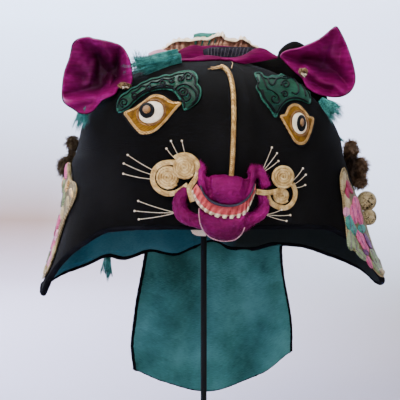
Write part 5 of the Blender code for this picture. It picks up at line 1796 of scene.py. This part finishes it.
# %% Strands
def tuft_routes(root, tip, width, count, flare=1.5, curl=1, spread=0.35, bends=6):
    """Strands from a tight root that flare towards their tips."""
    root, tip = Vector(root), Vector(tip)
    along = tip - root
    first = along.cross(UP).normalized()
    second = along.cross(first).normalized()
    routes = []
    locks = [(chance.uniform(0, math.tau), math.sqrt(chance.random()), anywhere() * curl,
              chance.uniform(0.7, 1.1)) for _ in range(max(6, count // 22))]
    for _ in range(count):
        angle, reach, drift, length = chance.choice(locks)
        angle += chance.gauss(0, 0.16)
        reach = min(1, max(0, reach + chance.gauss(0, 0.1)))
        out = turned(first, second, angle)
        length *= chance.uniform(0.85, 1.05)
        drift = drift + anywhere() * curl * 0.35
        route = []
        for k in range(bends + 1):
            t = k / bends
            wide = width * reach * mix(spread, flare, t) * (1 - 0.2 * t * t)
            route.append(root + along * (t * length) + out * wide + drift * (t * t))
        routes.append(route)
    return routes


TUFT_TABLE = {
    # Name: root, tip, width, strands, curl, flare and spread
    "mane_left": ((-92.6, -31, 273), (-97.2, -31, 254), 3.8, 420, 3.2, 1.5, 0.35),
    "mane_right": ((80.2, -49, 275), (93.4, -52.5, 262.6), 6, 420, 3.4, 1.5, 0.35),
    "hem_tassel": ((-70.5, 65.5, 152.6), (-71.8, 66.6, 135.4), 3.5, 460, 2, 1.2, 0.75),
}
for name, (root, tip, width, count, curl, flare, spread) in TUFT_TABLE.items():
    routes = tuft_routes(root, tip, width, count, flare, curl, spread)
    shown(strands(f"{name}_floss", routes, 0.22), FLOSS, "teal_floss", name)
LOW_TUFT = (stood(331, 131, -4), stood(342, 141.6, -8))
low_floss = tuft_routes(*LOW_TUFT, 2.6, 130, curl=3)
shown(strands("mane_right_low_floss", low_floss, 0.22), FLOSS, "teal_floss")

TOP_TUFT_ROOT = (-25, -40, 305.8)
TOP_TUFT_TIP = (-60, -45, 295.8)
STRAY = 60
floss = tuft_routes(TOP_TUFT_ROOT, TOP_TUFT_TIP, 6, 800, flare=1.25, curl=4.2, spread=0.95)
floss = [[clear_of_cloth(point, 0.5) for point in route] for route in floss]
for _ in range(STRAY):
    start = Vector(TOP_TUFT_TIP) + anywhere() * 3 + Vector((6, 0, 2))
    lean = Vector((chance.uniform(-0.8, 0.5), chance.uniform(-0.3, 0.3), 1)).normalized()
    bend = anywhere() * 1.6
    floss.append([start + lean * (t * chance.uniform(9, 10)) + bend * t * t for t in
                  (0, 0.25, 0.5, 0.75, 1)])
shown(strands("top_tuft_floss", floss, 0.22), FLOSS, "teal_floss", "top_tuft")

BALLS = {
    # Name: pixel, distance beyond the rod, radius in pixels across and down, kind
    "pompom_left_high": ((73, 143.6), 4, (6.6, 8.4), "olive"),
    "pompom_left_neck": ((72.4, 156), 6, (4.6, 6.6), "olive"),
    "pompom_left_low": ((65.6, 167), 6, (8.6, 10.4), "olive"),
    "fur_ball_high": ((350.8, 150), 8, (8, 10.6), "brown"),
    "fur_mass": ((350, 167), 10, (9.4, 18.4), "dark"),
    "fur_ball_middle": ((361, 167.4), 6, (7.4, 10.6), "brown"),
    "fur_ball_low": ((359.4, 181.6), 6, (8, 7.6), "brown"),
    "silk_ball_high": ((366.5, 201), 5, (9.8, 9.8), "silk"),
    "silk_ball_low": ((368.8, 217), 5, (7.6, 8), "silk"),
}
MM_PER_PIXEL = 0.78
FIBRES = 1300
FIBRE_LENGTH = 3.2
LOCKS = 60
WINDS = 40
DARK_WINDS = 8
silk_dark = []

for name, (pixel, ahead, reach, kind) in BALLS.items():
    middle = stood(*pixel, ahead)
    size = Vector((reach[0], (reach[0] + reach[1]) / 2, reach[1])) * MM_PER_PIXEL
    core_size = size - Vector((1, 1, 1)) * (FIBRE_LENGTH * 0.5 if kind != "silk" else 0.4)
    bpy.ops.mesh.primitive_ico_sphere_add(subdivisions=4, radius=MM)
    core = bpy.context.object
    sculpted(core, lambda point, normal: Vector((
        point.x * (core_size.x - 1), point.y * (core_size.y - 1), point.z * (core_size.z - 1)))
        * (1 + (0.06 if kind == "silk" else 0.15) * noise.noise(point * 1.7 + middle)))
    core.location = middle * MM
    settled(core)
    core.data.shade_smooth()
    if kind == "silk":
        winds = []
        for _ in range(WINDS):
            axis = anywhere()
            first = axis.orthogonal().normalized()
            second = axis.cross(first)
            lap = []
            for k in range(37):
                angle = math.tau * k / 36
                way = turned(first, second, angle) + axis * chance.uniform(-0.02, 0.02)
                lap.append((middle + Vector(a * b for a, b in zip(way, size)), way.normalized()))
            winds.append(lap)
        shown(cords(f"{name}_threads", winds[DARK_WINDS:], 0.32, step=1, sides=6), SILKS["straw"],
              "silk_mesh")
        core.name = f"{name}_core"
        shown(core, BAND_EDGE, "silk_mesh", name)
        silk_dark += winds[:DARK_WINDS]
    else:
        fibres = []
        curls = [(anywhere(), anywhere()) for _ in range(LOCKS)]
        for _ in range(FIBRES):
            way = anywhere()
            lock, bend = max(curls, key=lambda pair: pair[0].dot(way))
            start = middle + Vector(a * b for a, b in zip(way, core_size)) * 0.96
            lean = (lock + way * 0.8 + anywhere() * 0.3).normalized()
            length = FIBRE_LENGTH * chance.uniform(0.6, 1.2)
            fibres.append([start, start + lean * length * 0.5,
                           start + (lean + bend * 0.45 + Vector((0, 0, -0.15))) * length])
        fur = strands(f"{name}_fibres", fibres, 0.15)
        nodes = [name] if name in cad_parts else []
        shown(merged(f"{name}_fur", [fur, core]), FURS[kind], "brown_fur", *nodes)
shown(cords("silk_ball_dark_threads", silk_dark, 0.3, step=1, sides=6), BLACK_CORD, "silk_mesh")
print("balls and tufts are on")

# %% [markdown]
# ## Ear knots
# A twist of gold and cream thread ties each ear down, and its white ends stick out.

# %% Ear knots
KNOTS = {"left": ((124, 85.6), -62, (6, 2.4)), "right": ((302.6, 72.6), -52, (3.4, 3.8))}
KNOT_LAPS = 9
KNOT_STEPS = 24
for side, (pixel, ahead, reach) in KNOTS.items():
    laps = []
    for lap in range(KNOT_LAPS):
        tilt = chance.uniform(-0.5, 0.5)
        centre = stood(pixel[0] + chance.uniform(-2, 2), pixel[1] + chance.uniform(-1, 1), ahead)
        route = []
        for k in range(KNOT_STEPS + 1):
            angle = math.tau * k / KNOT_STEPS
            way = RIGHT * (reach[0] * 0.6 * math.cos(angle)) + UP * (reach[1] * 0.6 * math.sin(angle + tilt))
            way -= AHEAD * (1.6 * math.sin(2 * angle + lap))
            point = clear_of_cloth(centre + way, 1)
            route.append((point, (way - AHEAD * 2).normalized()))
        laps.append(route)
    knot = cords(f"ear_knot_{side}_thread", laps, 0.48, step=0.5, sides=10, lobes=3, pitch=2.2, groove=0.35)
    shown(knot, DULL_GOLD, "cream_braid", f"ear_knot_{side}")
    ends = []
    for _ in range(6):
        start = stood(pixel[0] + chance.uniform(-2, 3), pixel[1] + chance.uniform(0, 1.4), ahead - 2)
        lean = RIGHT * chance.uniform(-0.4, 1) - UP * chance.uniform(0.1, 1) - AHEAD * 0.4
        ends.append([clear_of_cloth(start + lean * (t * 3.2), 0.8) for t in (0, 0.3, 0.6, 1)])
    shown(strands(f"ear_knot_ends_{side}", ends, 0.28, taper=0.2), WHITE, "cream_braid")

# %% [markdown]
# ## The flower bands
# The band down each flap is a strip of cloth cut in scallops, edged with couched straw and
# gold, and covered with silk flowers and leaves in satin stitch. Each petal is a small pad
# on the strip, laid at its own angle, and a darker vein runs down its middle.

# %% Flower bands
SIDE_BEARING = -90
MM_PER_DEGREE = 1.9
# Height and how far the left band stands off the cloth there
BAND_ARCH = [(230, 1), (219, 3), (209, 4.4), (198, 3.7), (187, 3), (176, 2.6),
             (165, 1.2), (154, 0.4), (143, 0)]


def on_side(across, height, lift):
    """A place on the left side, in millimetres towards the back and above the table."""
    share = (BAND_ARCH[0][0] - height) / (BAND_ARCH[0][0] - BAND_ARCH[-1][0])
    arch = max(0, spline(BAND_ARCH, share)[1]) * bell(across, 5, 11)
    return on_crown(SIDE_BEARING - across / MM_PER_DEGREE, height, lift + arch * (lift > BAND_LIFT[0]))


# The right band is given in pixels, the left one as places on the side
BAND_SHAPES = {
    "left": {
        "front": [(0, 227), (-5, 220), (-10, 214), (-23, 212), (-28.6, 205.6), (-25, 197),
                  (-17.6, 189), (-10.5, 180.3), (-7.6, 172.6), (-8.6, 165), (-12, 159.6), (-10, 153),
                  (-3, 147), (3, 141.6)],
        "back": [(5, 228), (12, 222.6), (17, 214.6), (20.6, 206), (25.4, 197.6), (25.6, 188),
                 (29.8, 179.6), (29, 170.6), (31.6, 161.4), (27.4, 154.6), (24.6, 147.6), (17.6, 144.6),
                 (13, 140.6), (7, 139)],
    },
    "right": {
        "front": [(342.6, 168.4), (340.4, 176), (340.8, 188), (342.8, 199), (343.6, 210.6), (345.8, 224),
                  (347, 237), (349.4, 247), (355.6, 251.4), (361, 257.4), (368.6, 262.6), (374.6, 270),
                  (380, 275.8), (383.6, 276.6)],
        "back": [(344, 167.6), (346.4, 172), (348.6, 180), (353.6, 191), (358.8, 201), (362.6, 212),
                 (366, 224), (369.4, 236), (373, 246.6), (376.6, 255), (380, 262), (382.2, 267),
                 (383.4, 271), (384.2, 274)],
    },
}
PETALS = {
    # Middle, half length and half width, lean in degrees from upright, silk
    "left": [
        ((1.6, 221), (7, 3.6), -10, "rose"), ((-4.6, 210), (6.2, 2.6), 34, "gold"),
        ((5, 208.6), (6.4, 3.4), -8, "sage"), ((15.6, 210), (4.6, 2.6), 30, "pink"),
        ((-17, 204.6), (7.6, 2.6), -66, "gold"), ((-12.4, 198), (6.6, 2.4), -52, "straw"),
        ((1, 198.4), (6.6, 3.4), 8, "sage"), ((9.6, 199.6), (5.6, 3), -30, "jade"),
        ((20, 200.6), (5.4, 2.8), 24, "sage"), ((-2.6, 189), (6, 2.8), -30, "straw"),
        ((1.6, 181.6), (7, 3.6), 4, "rose"), ((13.4, 185.6), (6.6, 3.2), -38, "rose"),
        ((16.4, 176.6), (6.4, 3.2), -72, "rose"), ((9.6, 173.4), (4, 2.6), -40, "red"),
        ((23, 188), (6.4, 2.6), -16, "sage"), ((25, 176.4), (5.6, 2.4), 6, "sage"),
        ((-1.6, 172), (4.6, 2.8), 10, "pink"), ((0.6, 163), (6.4, 3.4), 0, "rose"),
        ((10.6, 165), (6, 3), -34, "rose"), ((17.4, 163.6), (6.4, 3), -58, "rose"),
        ((24.6, 166), (5, 2.4), -20, "plum"), ((-5.4, 161), (4.6, 1.9), -30, "straw"),
        ((0, 153.4), (5.6, 2.8), 16, "pink"), ((8.4, 155), (5.6, 2.6), -14, "sage"),
        ((17, 154.4), (6, 2.8), -40, "sage"), ((7, 146.4), (4.8, 2.4), 10, "straw"),
        ((14.4, 147.4), (4.4, 2.2), -30, "straw"),
    ],
    "right": [
        ((343.6, 181), (8, 2.2), 2, "straw"), ((348, 185), (4.4, 1.8), -20, "red"),
        ((347.4, 193.4), (6, 1.8), -6, "red"), ((350.6, 190), (3.6, 1.4), -30, "red"),
        ((347, 201.6), (6.6, 2.6), -14, "straw"), ((346.8, 211.6), (4.2, 3), 4, "pink"),
        ((356.4, 206.6), (8.6, 3), -10, "rose"), ((353.6, 214.4), (8, 2.8), -12, "rose"),
        ((359.6, 217), (7, 2.4), -14, "rose"), ((350, 222.6), (6.8, 3.6), -8, "jade"),
        ((353.6, 229.8), (5, 2.6), -16, "jade"), ((361.6, 228.6), (3.8, 3.2), -16, "jade"),
        ((351, 240), (8.4, 3.4), -2, "sage"), ((355.6, 244), (6, 2.4), -12, "sage"),
        ((361, 238.6), (7.6, 3), -26, "rose"), ((364.6, 246), (6.6, 2.4), -30, "rose"),
        ((368, 241.4), (7.4, 1.6), -26, "plum"), ((366, 251.6), (3.6, 2.2), -24, "plum"),
        ((361.4, 254.6), (6.4, 2.6), -44, "sage"), ((369.4, 262), (5.6, 2), -24, "rose"),
        ((374, 256.6), (7, 2.6), -26, "sage"), ((377, 266.6), (7.4, 2.8), -34, "sage"),
        ((381, 270.6), (4, 1.8), -40, "straw"),
    ],
}
PETAL_GROWTH = {"left": 1, "right": 1.28}
LAY = {"left": on_side, "right": on_hat}
BUD_PIXELS = [(64.6, 177.6), (62.4, 184), (63, 192)]
BUD_AHEAD = -10
BAND_LIFT = (0.8, 2)
PETAL_LIFT = (1.4, 3.4)

for side, shape in BAND_SHAPES.items():
    lay, growth = LAY[side], PETAL_GROWTH[side]
    base = long_pad(f"floral_band_{side}_strip", shape["front"], shape["back"], *BAND_LIFT, columns=120,
                    lines=10, edge=0.85, ease=0.2, lay=lay)
    shown(base, BAND_BASE, "floral_embroidery", f"floral_band_{side}")
    inner = lower_half(shape["front"], 0.1, shape["back"])
    hems = [laid_route(line, lift, 160, lay=lay) for line, lift in
            ((shape["front"], 1.7), (inner, 1.9), (shape["back"], 1.6))]
    shown(cords(f"band_edge_{side}", hems, 0.42, step=0.5, sides=8, lobes=2, pitch=1.6, groove=0.3),
          BAND_EDGE, "gold_braid")
    sewn = {}
    veins = []
    for middle, half, lean, silk in PETALS[side]:
        half = (half[0] * growth, half[1] * growth)
        outline = oval(middle, (half[1], half[0]), lean)
        sewn.setdefault(silk, []).append(
            round_pad("petal", outline, middle, *PETAL_LIFT, rings=6, corners=28, edge=0.25, lay=lay))
        angle = math.radians(lean)
        tip = (math.sin(angle) * half[0] * 0.8, -math.cos(angle) * half[0] * 0.8)
        vein = [(middle[0] - tip[0], middle[1] - tip[1]), middle, (middle[0] + tip[0], middle[1] + tip[1])]
        if silk in ("rose", "pink", "jade", "sage"):
            veins.append(laid_route(vein, PETAL_LIFT[1] - 0.1, 10, lay=lay))
    for silk, petals in sewn.items():
        shown(merged(f"band_{silk}_{side}", petals), SILKS[silk], "floral_embroidery")
    shown(cords(f"band_veins_{side}", veins, 0.26, step=0.8, sides=6), SILKS["plum"],
          "floral_embroidery")
bud = [(stood(*spline(BUD_PIXELS, k / 12), BUD_AHEAD), -RIGHT) for k in range(13)]
shown(cords("gold_bud", [bud], 0.9, step=0.6, sides=10, lobes=2, pitch=2, taper=0.5), GOLD, "gold_braid")
print("flower bands are on")

# %% [markdown]
# ## The white patch
# A scrap of white cotton shows under the front hem beside the rod, where the lining was mended.

# %% White patch
PATCH_TOP = [(191, 230.4), (198, 230.4), (206, 230.4)]
PATCH_FOOT = [(192.6, 233.4), (197, 235.6), (206, 236.2)]
PATCH_AHEAD = -77.4
PATCH_TUCK = 12
PATCH_DROP = 6
PATCH_WALL = 0.5


def patch_place(down, across):
    share = mix(-PATCH_TUCK / PATCH_DROP, 1, down)
    return stood(*between(spline(PATCH_TOP, across), spline(PATCH_FOOT, across), share), PATCH_AHEAD)


patch = walled(cloth_grid("white_patch", grid(6, 12, patch_place), (11.2, 11)), PATCH_WALL)
shown(patch, WHITE, "white_cloth")
print("patch", round(flat_area(patch) * 10000, 2), "square centimetres")

# %% [markdown]
# ## Whiskers
# Three groups of whiskers stand on each cheek: stiff cream thread with a small bead on each
# tip. They start at the cloth and rise off it towards their tips.

# %% Whiskers
WHISKERS = [
    # Root, tip in pixels
    ((184.7, 152.5), (181.9, 140.8)), ((178.5, 155.5), (171, 141)), ((174.8, 158.3), (166.5, 148.6)),
    ((153.5, 170.5), (127.8, 155)), ((152, 174.8), (123.8, 163.5)), ((150.5, 179), (123.4, 173.8)),
    ((174, 212.3), (138.2, 201)), ((174, 212.8), (134.7, 210.9)), ((174, 213.4), (138.9, 219.3)),
    ((261.6, 172), (271.9, 147.5)), ((261.8, 172.4), (277, 153.2)), ((262, 172.8), (278.5, 161)),
    ((293.7, 180), (302.9, 168.4)), ((294.8, 184), (305.8, 174.7)), ((296, 187.6), (305.2, 185)),
    ((266.7, 214.3), (281.7, 209.7)), ((266.9, 214.7), (290.3, 215.2)), ((266.7, 215.2), (286.5, 221)),
]
WHISKER_LIFT = (2, 5)
WHISKER_RADIUS = 0.21
WHISKER_STEPS = 12
WHISKER_SAG = 0.7
BEAD_RADIUS = 0.75

hairs, beads = [], []
for root, tip in WHISKERS:
    hair = []
    for k in range(WHISKER_STEPS + 1):
        t = k / WHISKER_STEPS
        px, py = between(root, tip, t)
        hair.append(on_hat(px, py + WHISKER_SAG * math.sin(math.pi * t), mix(*WHISKER_LIFT, t)))
    hairs.append(hair)
    bpy.ops.mesh.primitive_uv_sphere_add(segments=12, ring_count=8, radius=BEAD_RADIUS * MM,
                                         location=hair[-1][0] * MM)
    bead = bpy.context.object
    settled(bead)
    bead.data.shade_smooth()
    beads.append(bead)
threads = cords("whiskers", hairs, WHISKER_RADIUS, step=1, sides=6)
shown(merged("whiskers", [threads] + beads), WHITE, "cream_braid")
print(len(WHISKERS), "whiskers")

# %% [markdown]
# ## The end
# The CAD nodes that still show get a finish of their own.

# %% Stand and finish
for node_name in ("rod", "base_plate", "crown_pad"):
    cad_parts[node_name].data.materials.clear()
    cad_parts[node_name].data.materials.append(BINDING if node_name == "crown_pad" else STEEL)
